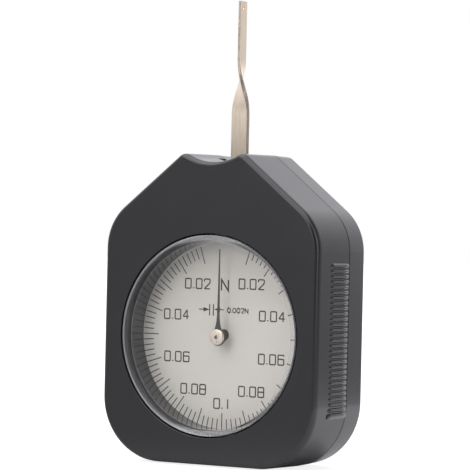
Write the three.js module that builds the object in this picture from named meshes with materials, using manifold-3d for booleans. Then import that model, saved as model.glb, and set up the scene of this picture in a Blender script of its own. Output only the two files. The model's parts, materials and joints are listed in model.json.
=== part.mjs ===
// Dial tension gauge: a hand-held pocket instrument that reads small forces.
// A twisted flat feeler lever sticks out of the top of a moulded two-part case.
// Inside, the lever turns a toothed sector, which drives a pinion and the pointer
// over a dial that reads the same way to both sides of zero.
// Millimetres. X is to the right of someone who faces the dial, Y goes into the case,
// Z is up. The gauge stands on the flat underside of its case.

import * as THREE from 'three';
import { mergeVertices } from 'three/addons/utils/BufferGeometryUtils.js';
import Module from 'manifold-3d';

const wasm = await Module();
wasm.setup();

// Case outline, at the line where the two shells part
const side_margin = 6.15;
const foot_margin = 8.15;
const shoulder_margin = 3.05;
const crest_rise = 19.16;
const crest_offset = 9.26;
const dip_drop = 4.91;
const foot_radius = 18;
const shoulder_radius = 12;
const crest_radius = 2.6;
const dip_radius = 16.35;
const draft_degrees = 1;

// Case walls and edges
const wall = 2.2;
const front_wall = 2.6;
const back_wall = 2.2;
const front_edge_radius = 1.6;
const back_edge_radius = 1.65;
const least_radius = 0.3;
const seam_gap = 0.15;
const lip_depth = 1.5;
const lip_thickness = 1.1;

// Clearances
const seat_gap = 0.15;
const running_gap = 0.15;
const overrun = 1;
const merge_distance = 0.0001;

// Grip ribs on both sides
const rib_count = 29;
const rib_pitch = 1.408;
const rib_height = 0.5;
const rib_root_width = 1.06;
const rib_crest_width = 0.4;
const rib_front_depth = 7.25;
const rib_front_end_length = 1.2;
const rib_back_end_length = 2.5;
const rib_back_margin = 0.15;
const rib_sink = 0.4;
const rib_middle_drop = 0.25;

// Window, crystal and dial
const crystal_radius = 26.85;
const crystal_clearance = 0.2;
const crystal_proud = 0.05;
const crystal_plate = 1.95;
const crystal_wall = 1.5;
const crystal_edge_radius = 0.7;
const crystal_flange_width = 1.35;
const crystal_flange_thickness = 1;
const dial_depth = 8.75;
const dial_thickness = 0.6;
const dial_hole_radius = 1.6;
const collar_wall = 1.2;
const window_chamfer = 0.45;

// Case screws and their bosses
const boss_radius = 3;
const rear_boss_radius = 4.1;
const case_screw_radius = 1.4;
const case_screw_head_radius = 2.6;
const case_screw_head_height = 1.6;
const case_screw_recess = 2;
const case_screw_reach = 9;
const lower_boss_inset = 8.5;
const lower_boss_height = 11.5;
const upper_boss_inset = 7.6;
const upper_boss_drop = 6.9;
const driver_slot_width = 0.7;
const driver_slot_depth = 0.8;
const driver_reach_share = 0.6;
const screw_rim_share = 0.7;
const screw_top_share = 0.8;

// Gear train
const gear_module = 0.25;
const pinion_teeth = 10;
const sector_full_teeth = 205;
const sector_teeth = 15;
const tooth_addendum_share = 0.9;
const tooth_dedendum_share = 1.24;
const tooth_backlash = 0.06;
const pressure_degrees = 20;
const pointer_half_turn = 180;
const pointer_axis_drop = 0.5;

// Movement plates
const plate_thickness = 1;
const dial_to_plate = 0.3;
const lever_to_back_plate = 2.35;
const front_plate_overlap = 0.6;
const plate_boss_radius = 2.4;
const plate_boss_reach = 2.9;
const plate_ear_radius = 3;
const plate_screw_radius = 1;
const plate_screw_head_radius = 1.9;
const plate_screw_head_height = 1.1;
const plate_screw_reach = 4;
const pillar_radius = 2;
const pillar_spigot_radius = 1.2;
const upper_pillar_offset = 14;
const upper_pillar_drop = 9.375;
const lower_pillar_drop = 15.5;
const back_plate_margin = 3.6;
const back_plate_corner_radius = 3.4;
const back_plate_neck_share = 0.42;
const sight_radius = 3.6;
const bush_radius = 1.9;
const bush_flange_radius = 2.7;
const bush_flange_thickness = 0.5;

// Feeler lever
const plate_to_lever = 4.5;
const lever_to_seam = 1.65;
const lever_reach = 41.44;
const lever_root_width = 4.85;
const lever_tip_width = 3.55;
const lever_root_thickness = 1.5;
const lever_tip_thickness = 0.78;
const lever_twist_rise = 10.24;
const lever_twist_length = 16;
const lever_twist_degrees = 90;
const lever_edge_chamfer = 0.12;
const lever_hole_radius = 0.55;
const lever_hole_inset = 1.75;
const lever_eye_radius = 4.4;
const slot_clearance = 0.2;
const slot_front_margin = 0.6;
const slot_floor_margin = 2;

// Lever shaft, hub and sector
const shaft_radius = 1.2;
const shaft_journal_radius = 0.9;
const shaft_end_margin = 0.7;
const hub_radius = 2;
const hub_flange_radius = 4.2;
const hub_flange_thickness = 0.45;
const hub_overhang = 0.8;
const sector_thickness = 1;
const sector_rim = 2.2;
const sector_arm_width = 1.9;
const sector_hub_radius = 4.4;
const sector_end_margin_degrees = 0.7;
const arm_meeting_share = 1.1;
const rivet_radius = 0.5;
const rivet_head_radius = 0.95;
const rivet_head_height = 0.4;
const rivet_offset = 3.05;
const stop_pin_radius = 0.8;
const stop_pin_spigot_radius = 0.5;
const stop_pin_drop = 18.5;
const stop_pin_clearance = 0.3;

// Pointer, its arbor and the springs
const arbor_radius = 0.8;
const arbor_journal_radius = 0.6;
const arbor_tip_radius = 0.36;
const arbor_pivot_radius = 0.5;
const pinion_overhang = 0.4;
const pointer_hub_reach = 4.1;
const pointer_hub_radius = 2.15;
const pointer_hub_plate = 0.75;
const pointer_hub_sleeve_radius = 1.1;
const pointer_hub_length = 3.2;
const pointer_hub_chamfer = 0.12;
const needle_length = 23.6;
const needle_thickness = 0.2;
const needle_eye_radius = 2.45;
const needle_tip_half_width = 0.11;
const needle_taper = 0.15;
const needle_flare = 0.65;
const needle_flare_power = 12;
const collet_wall = 0.8;
const collet_length = 1;
const sector_to_hairspring = 2.3;
const hairspring_width = 0.5;
const hairspring_thickness = 0.13;
const hairspring_outer_radius = 6.2;
const hairspring_turns = 4;
const spring_collet_wall = 1.2;
const spring_collet_length = 2.2;
const plate_to_spring = 1.4;
const spring_to_cover = 1.7;
const spring_width = 1.6;
const spring_thickness = 0.4;
const spring_outer_radius = 9.2;
const spring_turns = 4;
const stud_radius = 1.1;
const stud_slit_gap = 0.3;
const hair_stud_radius = 0.7;

// Facets
const fine_facets = 52;
const small_facets = 16;
const tiny_facets = 8;
const twist_steps = 14;
const edge_steps = 3;
const flank_steps = 2;
const rim_steps = 6;
const spiral_steps_per_turn = 14;
const needle_steps = 9;

// Outline sizes that follow from the ones above
const draft_slope = Math.tan(THREE.MathUtils.degToRad(draft_degrees));
const case_width = (crystal_radius + side_margin) * 2;
const window_height = crystal_radius + foot_margin;
const shoulder_height = window_height + crystal_radius + shoulder_margin;
const crest_height = shoulder_height + crest_rise;
const dip_point_height = crest_height - dip_drop;
const rib_middle_height = window_height - rib_middle_drop;
const lever_tip_height = crest_height + lever_reach;
const lever_twist_start = crest_height + lever_twist_rise;
const lever_twist_end = lever_twist_start + lever_twist_length;

// Radii and heights that follow
const bore_radius = crystal_radius + crystal_clearance;
const seat_radius = crystal_radius + crystal_flange_width + crystal_clearance;
const collar_radius = seat_radius + collar_wall;
const crystal_inner_radius = crystal_radius - crystal_wall;
const crystal_back = dial_depth - seat_gap;
const crystal_shoulder = crystal_back - crystal_flange_thickness;
const pointer_axis_height = window_height - pointer_axis_drop;
const pinion_pitch_radius = (gear_module * pinion_teeth) / 2;
const sector_pitch_radius = (gear_module * sector_full_teeth) / 2;
const pivot_height = pointer_axis_height + pinion_pitch_radius + sector_pitch_radius;
const gear_ratio = sector_full_teeth / pinion_teeth;
const lever_swing_degrees = pointer_half_turn / gear_ratio;
const upper_pillar_height = pivot_height - upper_pillar_drop;
const lower_pillar_height = pointer_axis_height - lower_pillar_drop;

// Depths that follow, from the dial to the back of the case
const dial_back = dial_depth + dial_thickness;
const pointer_hub_front = dial_depth - pointer_hub_reach;
const front_plate_depth = dial_back + dial_to_plate;
const collar_back = front_plate_depth - seat_gap;
const front_plate_back = front_plate_depth + plate_thickness;
const lever_depth = front_plate_back + plate_to_lever;
const lever_front = lever_depth - lever_root_thickness / 2;
const lever_back = lever_depth + lever_root_thickness / 2;
const hub_flange_front = lever_front - seat_gap - hub_flange_thickness;
const sector_back = hub_flange_front - seat_gap;
const sector_front = sector_back - sector_thickness;
const hairspring_depth = sector_back + sector_to_hairspring;
const parting_depth = lever_back + lever_to_seam;
const cover_front = parting_depth + seam_gap;
const back_plate_depth = lever_back + lever_to_back_plate;
const back_plate_back = back_plate_depth + plate_thickness;
const spring_depth = back_plate_back + plate_to_spring;
const shaft_back = spring_depth + spring_collet_length + shaft_end_margin;
const cover_inside = shaft_back + spring_to_cover;
const case_depth = cover_inside + back_wall;
const screw_seat_depth = case_depth - case_screw_recess - case_screw_head_height;
const plate_boss_distance = bore_radius + plate_boss_reach + collar_wall;

// The slot lets the lever swing to both stops at the height of the crests
const swing_radians = THREE.MathUtils.degToRad(lever_swing_degrees);
const lever_sweep = (crest_height - pivot_height) * Math.sin(swing_radians);
const lever_slant = lever_root_width / 2 / Math.cos(swing_radians);
const lever_slot_half_length = lever_sweep + lever_slant + slot_clearance;
const lever_slot_front = lever_front - slot_front_margin;
const lever_slot_floor = dip_point_height - wall - slot_floor_margin;

const boss_places = [
  [-case_width / 2 + lower_boss_inset, lower_boss_height],
  [case_width / 2 - lower_boss_inset, lower_boss_height],
  [-case_width / 2 + upper_boss_inset, shoulder_height - upper_boss_drop],
  [case_width / 2 - upper_boss_inset, shoulder_height - upper_boss_drop],
];
const plate_boss_places = [60, 120, 240, 300].map((degrees) => {
  const angle = THREE.MathUtils.degToRad(degrees);
  return [plate_boss_distance * Math.cos(angle), window_height + plate_boss_distance * Math.sin(angle)];
});
const pillar_places = [
  [-upper_pillar_offset, upper_pillar_height],
  [upper_pillar_offset, upper_pillar_height],
  [0, lower_pillar_height],
];

// Merges shared points and drops triangles that have closed up to a line
function tidied(geometry) {
  const bare = geometry.clone();
  bare.deleteAttribute('normal');
  bare.deleteAttribute('uv');
  const merged = mergeVertices(bare, merge_distance);
  const kept = [];
  const index = merged.index.array;
  for (let i = 0; i < index.length; i += 3) {
    const [a, b, c] = [index[i], index[i + 1], index[i + 2]];
    if (a !== b && b !== c && c !== a) kept.push(a, b, c);
  }
  merged.setIndex(kept);
  return merged;
}

// A three.js geometry as a solid that can be joined and cut
function solid(geometry) {
  const closed = tidied(geometry);
  const vertProperties = new Float32Array(closed.attributes.position.array);
  const triVerts = new Uint32Array(closed.index.array);
  return new wasm.Manifold(new wasm.Mesh({ numProp: 3, vertProperties, triVerts }));
}

// A solid back as a three.js geometry
function geometryOf(body) {
  const mesh = body.getMesh();
  const geometry = new THREE.BufferGeometry();
  geometry.setAttribute('position', new THREE.BufferAttribute(new Float32Array(mesh.vertProperties), 3));
  geometry.setIndex(new THREE.BufferAttribute(new Uint32Array(mesh.triVerts), 1));
  return geometry;
}

function join(first, ...others) {
  let body = solid(first);
  for (const other of others) body = body.add(solid(other));
  return geometryOf(body);
}

function cut(first, ...tools) {
  let body = solid(first);
  for (const tool of tools) body = body.subtract(solid(tool));
  return geometryOf(body);
}

function moved(geometry, x, y, z) {
  return geometry.clone().translate(x, y, z);
}

// A turned piece about the Y axis, from points of radius and depth
function turned(profile, facets = small_facets) {
  const points = profile.map(([radius, depth]) => new THREE.Vector2(radius, depth));
  return new THREE.LatheGeometry(points, facets);
}

function pin(radius, front, back, facets = small_facets) {
  return turned([[0, front], [radius, front], [radius, back], [0, back]], facets);
}

function ring(inner, outer, front, back, facets = small_facets) {
  const profile = [[inner, front], [outer, front], [outer, back], [inner, back], [inner, front]];
  return turned(profile, facets);
}

// A flat piece: a shape in X and Z, from one depth to another
function plate(shape, front, back, facets = small_facets) {
  const flat = new THREE.ExtrudeGeometry(shape, {
    depth: back - front,
    bevelEnabled: false,
    curveSegments: facets,
  });
  flat.rotateX(Math.PI / 2);
  return flat.translate(0, back, 0);
}

function box(x0, x1, y0, y1, z0, z1) {
  const block = new THREE.BoxGeometry(x1 - x0, y1 - y0, z1 - z0);
  return block.translate((x0 + x1) / 2, (y0 + y1) / 2, (z0 + z1) / 2);
}

function shapeOf(points) {
  return new THREE.Shape(points.map(([x, z]) => new THREE.Vector2(x, z)));
}

// Points of a polygon whose corners are rounded, inwards or outwards as each corner turns
function rounded(corners) {
  const points = [];
  corners.forEach((corner, i) => {
    const before = corners[(i + corners.length - 1) % corners.length];
    const after = corners[(i + 1) % corners.length];
    const arriving = new THREE.Vector2(corner.x - before.x, corner.z - before.z);
    const leaving = new THREE.Vector2(after.x - corner.x, after.z - corner.z);
    const room = Math.min(arriving.length(), leaving.length());
    arriving.normalize();
    leaving.normalize();
    const turn = Math.atan2(arriving.cross(leaving), arriving.dot(leaving));
    const half_tangent = Math.tan(Math.abs(turn) / 2);
    const radius = Math.min(corner.radius, (room * corner.room_share) / half_tangent);
    const side = Math.sign(turn);
    const start_x = corner.x - arriving.x * radius * half_tangent;
    const start_z = corner.z - arriving.y * radius * half_tangent;
    const centre_x = start_x - arriving.y * side * radius;
    const centre_z = start_z + arriving.x * side * radius;
    const start_angle = Math.atan2(start_z - centre_z, start_x - centre_x);
    for (let k = 0; k <= corner.steps; k += 1) {
      const angle = start_angle + (turn * k) / corner.steps;
      points.push([centre_x + radius * Math.cos(angle), centre_z + radius * Math.sin(angle)]);
    }
  });
  return points;
}

// The corners of the case at the parting line, going round from the lower left.
// The underside, the first edge, has no draft, so that the case stands flat on it.
function caseCorners() {
  const half = case_width / 2;
  const foot = { radius: foot_radius, steps: 9, room_share: 0.49 };
  const shoulder = { radius: shoulder_radius, steps: 6, room_share: 0.49 };
  const crest = { radius: crest_radius, steps: 4, room_share: 0.49 };
  return [
    { x: -half, z: 0, ...foot },
    { x: half, z: 0, ...foot },
    { x: half, z: shoulder_height, ...shoulder },
    { x: crest_offset, z: crest_height, ...crest },
    { x: 0, z: dip_point_height, radius: dip_radius, steps: 6, room_share: 0.97, hollow: true },
    { x: -crest_offset, z: crest_height, ...crest },
    { x: -half, z: shoulder_height, ...shoulder },
  ];
}

// The case outline moved inwards by an inset all round, and by the draft on all but the underside
function caseOutline(inset, draft) {
  const corners = caseCorners();
  const count = corners.length;
  const edges = corners.map((corner, i) => {
    const next = corners[(i + 1) % count];
    const along = new THREE.Vector2(next.x - corner.x, next.z - corner.z).normalize();
    const offset = inset + (i === 0 ? 0 : draft);
    return { along, x: corner.x - along.y * offset, z: corner.z + along.x * offset, offset };
  });
  const inner = corners.map((corner, i) => {
    const one = edges[(i + count - 1) % count];
    const two = edges[i];
    const span = one.along.cross(two.along);
    const reach = ((two.x - one.x) * two.along.y - (two.z - one.z) * two.along.x) / span;
    const offset = (one.offset + two.offset) / 2;
    const radius = corner.hollow ? corner.radius + offset : Math.max(corner.radius - offset, least_radius);
    return { ...corner, x: one.x + one.along.x * reach, z: one.z + one.along.y * reach, radius };
  });
  return rounded(inner);
}

// A solid skinned over outlines that stand one behind the other, capped at both ends
function loft(outlines) {
  const count = outlines[0].points.length;
  const vertices = [];
  for (const { points, depth } of outlines) {
    for (const [x, z] of points) vertices.push(x, depth, z);
  }
  const index = [];
  for (let k = 0; k + 1 < outlines.length; k += 1) {
    for (let i = 0; i < count; i += 1) {
      const a = k * count + i;
      const b = k * count + ((i + 1) % count);
      const c = b + count;
      const d = a + count;
      index.push(a, d, c, a, c, b);
    }
  }
  const last = (outlines.length - 1) * count;
  const flat = (points) => points.map(([x, z]) => new THREE.Vector2(x, z));
  for (const [a, b, c] of THREE.ShapeUtils.triangulateShape(flat(outlines[0].points), [])) {
    index.push(a, b, c);
  }
  for (const [a, b, c] of THREE.ShapeUtils.triangulateShape(flat(outlines.at(-1).points), [])) {
    index.push(last + a, last + c, last + b);
  }
  const geometry = new THREE.BufferGeometry();
  geometry.setAttribute('position', new THREE.Float32BufferAttribute(vertices, 3));
  geometry.setIndex(index);
  return geometry;
}

// A stretch of the case, straight from front to back but for the draft
function caseBlock(inset, front, back) {
  const at = (depth) => ({
    points: caseOutline(inset, Math.abs(parting_depth - depth) * draft_slope),
    depth,
  });
  const depths = front < parting_depth && back > parting_depth ? [front, parting_depth, back] : [front, back];
  return loft(depths.map(at));
}

// The outer skin of one shell, from its rounded outer edge to the parting line
function shellSkin(edge_depth, joint_depth, edge_radius) {
  const inward = Math.sign(joint_depth - edge_depth);
  const rings = [];
  for (let k = 0; k <= edge_steps; k += 1) {
    const angle = (Math.PI / 2) * (k / edge_steps);
    const depth = edge_depth + inward * edge_radius * (1 - Math.cos(angle));
    const draft = Math.abs(parting_depth - depth) * draft_slope;
    rings.push({ points: caseOutline(edge_radius * (1 - Math.sin(angle)), draft), depth });
  }
  const joint_draft = Math.abs(parting_depth - joint_depth) * draft_slope;
  rings.push({ points: caseOutline(0, joint_draft), depth: joint_depth });
  if (inward < 0) rings.reverse();
  return loft(rings);
}

// One grip rib: a ridge with sloped flanks, a short front end and a long back end.
// Its root is sunk in a side wall.
function gripRib(side, height) {
  const face = case_width / 2;
  const flank_slope = (rib_root_width - rib_crest_width) / 2 / rib_height;
  const back = parting_depth - rib_back_margin;
  const section = (rise) => ({
    x: face + rise,
    half: rib_crest_width / 2 + (rib_height - rise) * flank_slope,
    y0: rib_front_depth + (rise / rib_height) * rib_front_end_length,
    y1: back - (Math.max(rise, 0) / rib_height) * rib_back_end_length,
  });
  const vertices = [];
  for (const { x, half, y0, y1 } of [section(-rib_sink), section(rib_height)]) {
    for (const [y, z] of [[y0, -half], [y1, -half], [y1, half], [y0, half]]) {
      vertices.push(side * x, y, height + z);
    }
  }
  const index = [0, 2, 1, 0, 3, 2, 4, 5, 6, 4, 6, 7];
  for (let i = 0; i < 4; i += 1) {
    const next = (i + 1) % 4;
    index.push(i, next, 4 + next, i, 4 + next, 4 + i);
  }
  const geometry = new THREE.BufferGeometry();
  geometry.setAttribute('position', new THREE.Float32BufferAttribute(vertices, 3));
  geometry.setIndex(side > 0 ? index : index.toReversed());
  return geometry;
}

function gripRibs() {
  const ribs = [];
  for (const side of [-1, 1]) {
    for (let i = 0; i < rib_count; i += 1) {
      ribs.push(gripRib(side, rib_middle_height + (i - (rib_count - 1) / 2) * rib_pitch));
    }
  }
  return ribs;
}

function frontCase() {
  const skin = shellSkin(0, parting_depth, front_edge_radius);
  const collar = moved(pin(collar_radius, -overrun, collar_back, fine_facets), 0, 0, window_height);
  const boss_back = parting_depth - seat_gap;
  const case_bosses = boss_places.map(([x, z]) => moved(pin(boss_radius, -overrun, boss_back), x, 0, z));
  const plate_bosses = plate_boss_places.map(([x, z]) => {
    return moved(pin(plate_boss_radius, -overrun, collar_back), x, 0, z);
  });
  const hollow = cut(
    caseBlock(wall, front_wall, parting_depth + overrun),
    collar,
    ...case_bosses,
    ...plate_bosses,
  );
  const bore = turned([
    [0, -overrun],
    [bore_radius + window_chamfer + overrun, -overrun],
    [bore_radius, window_chamfer],
    [bore_radius, crystal_shoulder - seat_gap],
    [seat_radius, crystal_shoulder - seat_gap],
    [seat_radius, collar_back + overrun],
    [0, collar_back + overrun],
  ], fine_facets);
  const screw_holes = boss_places.map(([x, z]) => {
    const front = parting_depth - case_screw_reach;
    return moved(pin(case_screw_radius + seat_gap, front, parting_depth + overrun, tiny_facets), x, 0, z);
  });
  const plate_holes = plate_boss_places.map(([x, z]) => {
    const front = collar_back - plate_screw_reach;
    return moved(pin(plate_screw_radius + seat_gap, front, collar_back + overrun, tiny_facets), x, 0, z);
  });
  const slot = box(
    -lever_slot_half_length,
    lever_slot_half_length,
    lever_slot_front,
    parting_depth + overrun,
    lever_slot_floor,
    crest_height + overrun,
  );
  const shell = cut(skin, hollow, moved(bore, 0, 0, window_height), ...screw_holes, ...plate_holes, slot);
  return join(shell, ...gripRibs());
}

// The locating lip that enters the front case, open where the lever swings
function coverLip() {
  const outer = wall + seat_gap;
  const front = parting_depth - lip_depth;
  const back = cover_front + lip_depth;
  const entering = caseBlock(outer, front, back);
  const backing = caseBlock(wall / 2, cover_front, back);
  const opening = caseBlock(outer + lip_thickness, front - overrun, back + overrun);
  const half = lever_slot_half_length + lip_thickness;
  const lever_gap = box(-half, half, front - overrun, cover_front, shoulder_height, crest_height + overrun);
  return cut(join(entering, backing), opening, lever_gap);
}

function rearCover() {
  const skin = shellSkin(case_depth, cover_front, back_edge_radius);
  const bosses = boss_places.map(([x, z]) => moved(pin(rear_boss_radius, cover_front, case_depth), x, 0, z));
  const hollow = cut(caseBlock(wall, cover_front - overrun, cover_inside), ...bosses);
  const screw_holes = boss_places.map(([x, z]) => {
    const profile = [
      [0, cover_front - overrun],
      [case_screw_radius + seat_gap, cover_front - overrun],
      [case_screw_radius + seat_gap, screw_seat_depth - seat_gap],
      [case_screw_head_radius + seat_gap, screw_seat_depth - seat_gap],
      [case_screw_head_radius + seat_gap, case_depth + overrun],
      [0, case_depth + overrun],
    ];
    return moved(turned(profile), x, 0, z);
  });
  return cut(join(cut(skin, hollow), coverLip()), ...screw_holes);
}

// A screw that points to the front, its head at the back with a cross recess
function screw(radius, head_radius, head_height, head_front, tip) {
  const body = turned([
    [0, tip],
    [radius, tip],
    [radius, head_front],
    [head_radius, head_front],
    [head_radius, head_front + head_height * screw_rim_share],
    [head_radius * screw_top_share, head_front + head_height],
    [0, head_front + head_height],
  ], tiny_facets);
  const half_width = (driver_slot_width * head_radius) / case_screw_head_radius / 2;
  const reach = head_radius * driver_reach_share;
  const floor = head_front + head_height - (driver_slot_depth * head_height) / case_screw_head_height;
  const back = head_front + head_height + overrun;
  return cut(
    body,
    box(-reach, reach, floor, back, -half_width, half_width),
    box(-half_width, half_width, floor, back, -reach, reach),
  );
}

function caseScrew() {
  const tip = parting_depth - case_screw_reach + running_gap * 2;
  return screw(case_screw_radius, case_screw_head_radius, case_screw_head_height, screw_seat_depth, tip);
}

// A clear cup with a flange: its rounded front is about flush with the case
function windowCrystal() {
  const front = -crystal_proud;
  const edge = crystal_edge_radius;
  const profile = [[0, front]];
  for (let k = 0; k <= edge_steps; k += 1) {
    const angle = (Math.PI / 2) * (k / edge_steps);
    profile.push([crystal_radius - edge + edge * Math.sin(angle), front + edge - edge * Math.cos(angle)]);
  }
  profile.push(
    [crystal_radius, crystal_shoulder],
    [crystal_radius + crystal_flange_width, crystal_shoulder],
    [crystal_radius + crystal_flange_width, crystal_back],
    [crystal_inner_radius, crystal_back],
    [crystal_inner_radius, front + crystal_plate],
    [0, front + crystal_plate],
  );
  return turned(profile, fine_facets);
}

function dialPlate() {
  const radius = crystal_radius + crystal_flange_width;
  const disc = pin(radius, dial_depth, dial_back, fine_facets);
  const hole = pin(dial_hole_radius, dial_depth - overrun, dial_back + overrun);
  return cut(disc, moved(hole, 0, 0, -pointer_axis_drop));
}

// A through hole in one of the movement plates
function plateHole(radius, x, z, front) {
  return moved(pin(radius, front - overrun, front + plate_thickness + overrun, tiny_facets), x, 0, z);
}

function movementFrontPlate() {
  const front = front_plate_depth;
  const disc = pin(seat_radius + front_plate_overlap, front, front_plate_back, fine_facets);
  const ears = plate_boss_places.map(([x, z]) => {
    return moved(pin(plate_ear_radius, front, front_plate_back), x, 0, z);
  });
  const screw_holes = plate_boss_places.map(([x, z]) => plateHole(plate_screw_radius + seat_gap, x, z, front));
  const pillar_holes = pillar_places.map(([x, z]) => plateHole(pillar_spigot_radius + seat_gap, x, z, front));
  const pin_holes = stopPinPlaces().map(([x, z]) => plateHole(stop_pin_spigot_radius + seat_gap, x, z, front));
  return cut(
    join(moved(disc, 0, 0, window_height), ...ears),
    ...screw_holes,
    ...pillar_holes,
    ...pin_holes,
    plateHole(bush_radius + seat_gap, 0, pivot_height, front),
    plateHole(bush_radius + seat_gap, 0, pointer_axis_height, front),
  );
}

function movementBackPlate() {
  const corner = { radius: back_plate_corner_radius, steps: 5, room_share: 0.49 };
  const wide = upper_pillar_offset + back_plate_margin;
  const narrow = wide * back_plate_neck_share;
  const top = pivot_height + bush_flange_radius + back_plate_margin;
  const bottom = lower_pillar_height - back_plate_margin;
  const outline = rounded([
    { x: -narrow, z: bottom, ...corner },
    { x: narrow, z: bottom, ...corner },
    { x: wide, z: upper_pillar_height, ...corner },
    { x: narrow, z: top, ...corner },
    { x: -narrow, z: top, ...corner },
    { x: -wide, z: upper_pillar_height, ...corner },
  ]);
  const front = back_plate_depth;
  const sight_height = (pivot_height + pointer_axis_height) / 2;
  return cut(
    plate(shapeOf(outline), front, back_plate_back),
    ...pillar_places.map(([x, z]) => plateHole(plate_screw_radius + seat_gap, x, z, front)),
    plateHole(bush_radius + seat_gap, 0, pivot_height, front),
    plateHole(bush_radius + seat_gap, 0, pointer_axis_height, front),
    plateHole(sight_radius, 0, sight_height, front),
  );
}

function platePillar() {
  const front = front_plate_back + seat_gap;
  const back = back_plate_depth - seat_gap;
  const body = turned([
    [0, front_plate_depth],
    [pillar_spigot_radius, front_plate_depth],
    [pillar_spigot_radius, front],
    [pillar_radius, front],
    [pillar_radius, back],
    [0, back],
  ]);
  return cut(body, pin(plate_screw_radius + seat_gap, back - plate_screw_reach, back + overrun, tiny_facets));
}

function plateScrew(seat) {
  const head_front = seat + seat_gap;
  const tip = seat - plate_thickness - plate_screw_reach + running_gap * 2;
  return screw(plate_screw_radius, plate_screw_head_radius, plate_screw_head_height, head_front, tip);
}

// A flanged bearing bush; its flange lies on the face of the plate towards the gears
function bush(plate_front, journal_radius, flange_side) {
  const bore = journal_radius + running_gap;
  const face = flange_side > 0 ? plate_front + plate_thickness + seat_gap : plate_front - seat_gap;
  const flange = face + flange_side * bush_flange_thickness;
  const plain = flange_side > 0 ? plate_front : plate_front + plate_thickness;
  const profile = [
    [bore, plain],
    [bush_radius, plain],
    [bush_radius, face],
    [bush_flange_radius, face],
    [bush_flange_radius, flange],
    [bore, flange],
    [bore, plain],
  ];
  return turned(flange_side > 0 ? profile : profile.reverse());
}

// The twisted strip of the lever with its eye, about the pivot axis.
// Each section is a slim rectangle with broken edges; it turns and thins between root and tip.
function feelerLever() {
  const start = lever_twist_start - pivot_height;
  const end = lever_twist_end - pivot_height;
  const tip = lever_tip_height - pivot_height;
  const heights = [0, start];
  for (let k = 1; k <= twist_steps; k += 1) heights.push(start + ((end - start) * k) / twist_steps);
  heights.push(tip);
  const vertices = [];
  for (const height of heights) {
    const way = THREE.MathUtils.smoothstep(height, start, end);
    const angle = THREE.MathUtils.degToRad(lever_twist_degrees) * way;
    const half_width = THREE.MathUtils.lerp(lever_root_width, lever_tip_width, way) / 2;
    const half_thickness = THREE.MathUtils.lerp(lever_root_thickness, lever_tip_thickness, way) / 2;
    const c = lever_edge_chamfer;
    const section = [
      [half_width - c, -half_thickness],
      [half_width, -half_thickness + c],
      [half_width, half_thickness - c],
      [half_width - c, half_thickness],
      [-half_width + c, half_thickness],
      [-half_width, half_thickness - c],
      [-half_width, -half_thickness + c],
      [-half_width + c, -half_thickness],
    ];
    for (const [across, through] of section) {
      const x = across * Math.cos(angle) + through * Math.sin(angle);
      const y = -across * Math.sin(angle) + through * Math.cos(angle);
      vertices.push(x, lever_depth + y, height);
    }
  }
  const sides = 8;
  const index = [];
  for (let k = 0; k + 1 < heights.length; k += 1) {
    for (let i = 0; i < sides; i += 1) {
      const a = k * sides + i;
      const b = k * sides + ((i + 1) % sides);
      index.push(a, b, b + sides, a, b + sides, a + sides);
    }
  }
  const last = (heights.length - 1) * sides;
  for (let i = 1; i + 1 < sides; i += 1) {
    index.push(0, i + 1, i);
    index.push(last, last + i, last + i + 1);
  }
  const strip = new THREE.BufferGeometry();
  strip.setAttribute('position', new THREE.Float32BufferAttribute(vertices, 3));
  strip.setIndex(index);
  const eye = pin(lever_eye_radius, lever_front, lever_back, small_facets * 2);
  const tip_hole = pin(lever_hole_radius, -lever_root_width, lever_root_width, tiny_facets);
  tip_hole.rotateZ(Math.PI / 2).translate(0, lever_depth, tip - lever_hole_inset);
  return cut(
    join(strip, eye),
    pin(hub_radius + seat_gap, lever_front - overrun, lever_back + overrun),
    ...rivetPlaces().map(([x, z]) => {
      return moved(pin(rivet_radius + seat_gap, lever_front - overrun, lever_back + overrun, tiny_facets), x, 0, z);
    }),
    tip_hole,
  );
}

function rivetPlaces() {
  return [[-rivet_offset, 0], [rivet_offset, 0]];
}

function leverHub() {
  const sleeve = ring(
    shaft_radius + seat_gap,
    hub_radius,
    sector_front - hub_overhang,
    lever_back + hub_overhang,
  );
  const flange = ring(
    shaft_radius + seat_gap,
    hub_flange_radius,
    hub_flange_front,
    hub_flange_front + hub_flange_thickness,
    small_facets * 2,
  );
  return cut(
    join(sleeve, flange),
    ...rivetPlaces().map(([x, z]) => {
      return moved(pin(rivet_radius + seat_gap, sector_front, lever_back, tiny_facets), x, 0, z);
    }),
  );
}

function leverShaft() {
  const shoulder_front = front_plate_back + seat_gap + bush_flange_thickness + running_gap;
  const shoulder_back = back_plate_depth - seat_gap - bush_flange_thickness - running_gap;
  return turned([
    [0, front_plate_depth],
    [shaft_journal_radius, front_plate_depth],
    [shaft_journal_radius, shoulder_front],
    [shaft_radius, shoulder_front],
    [shaft_radius, shoulder_back],
    [shaft_journal_radius, shoulder_back],
    [shaft_journal_radius, shaft_back],
    [0, shaft_back],
  ]);
}

function hubRivet() {
  const head_front = sector_front - seat_gap;
  const head_back = lever_back + seat_gap;
  return turned([
    [0, head_front - rivet_head_height],
    [rivet_head_radius, head_front - rivet_head_height],
    [rivet_head_radius, head_front],
    [rivet_radius, head_front],
    [rivet_radius, head_back],
    [rivet_head_radius, head_back],
    [rivet_head_radius, head_back + rivet_head_height],
    [0, head_back + rivet_head_height],
  ], tiny_facets);
}

// A point of the sector: a distance from the pivot, at an angle from straight down
function sectorPoint(radius, angle) {
  return [radius * Math.sin(angle), -radius * Math.cos(angle)];
}

function sectorHalfAngle() {
  const pitch_angle = (2 * Math.PI) / sector_full_teeth;
  return (pitch_angle * sector_teeth) / 2 + THREE.MathUtils.degToRad(sector_end_margin_degrees);
}

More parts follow.
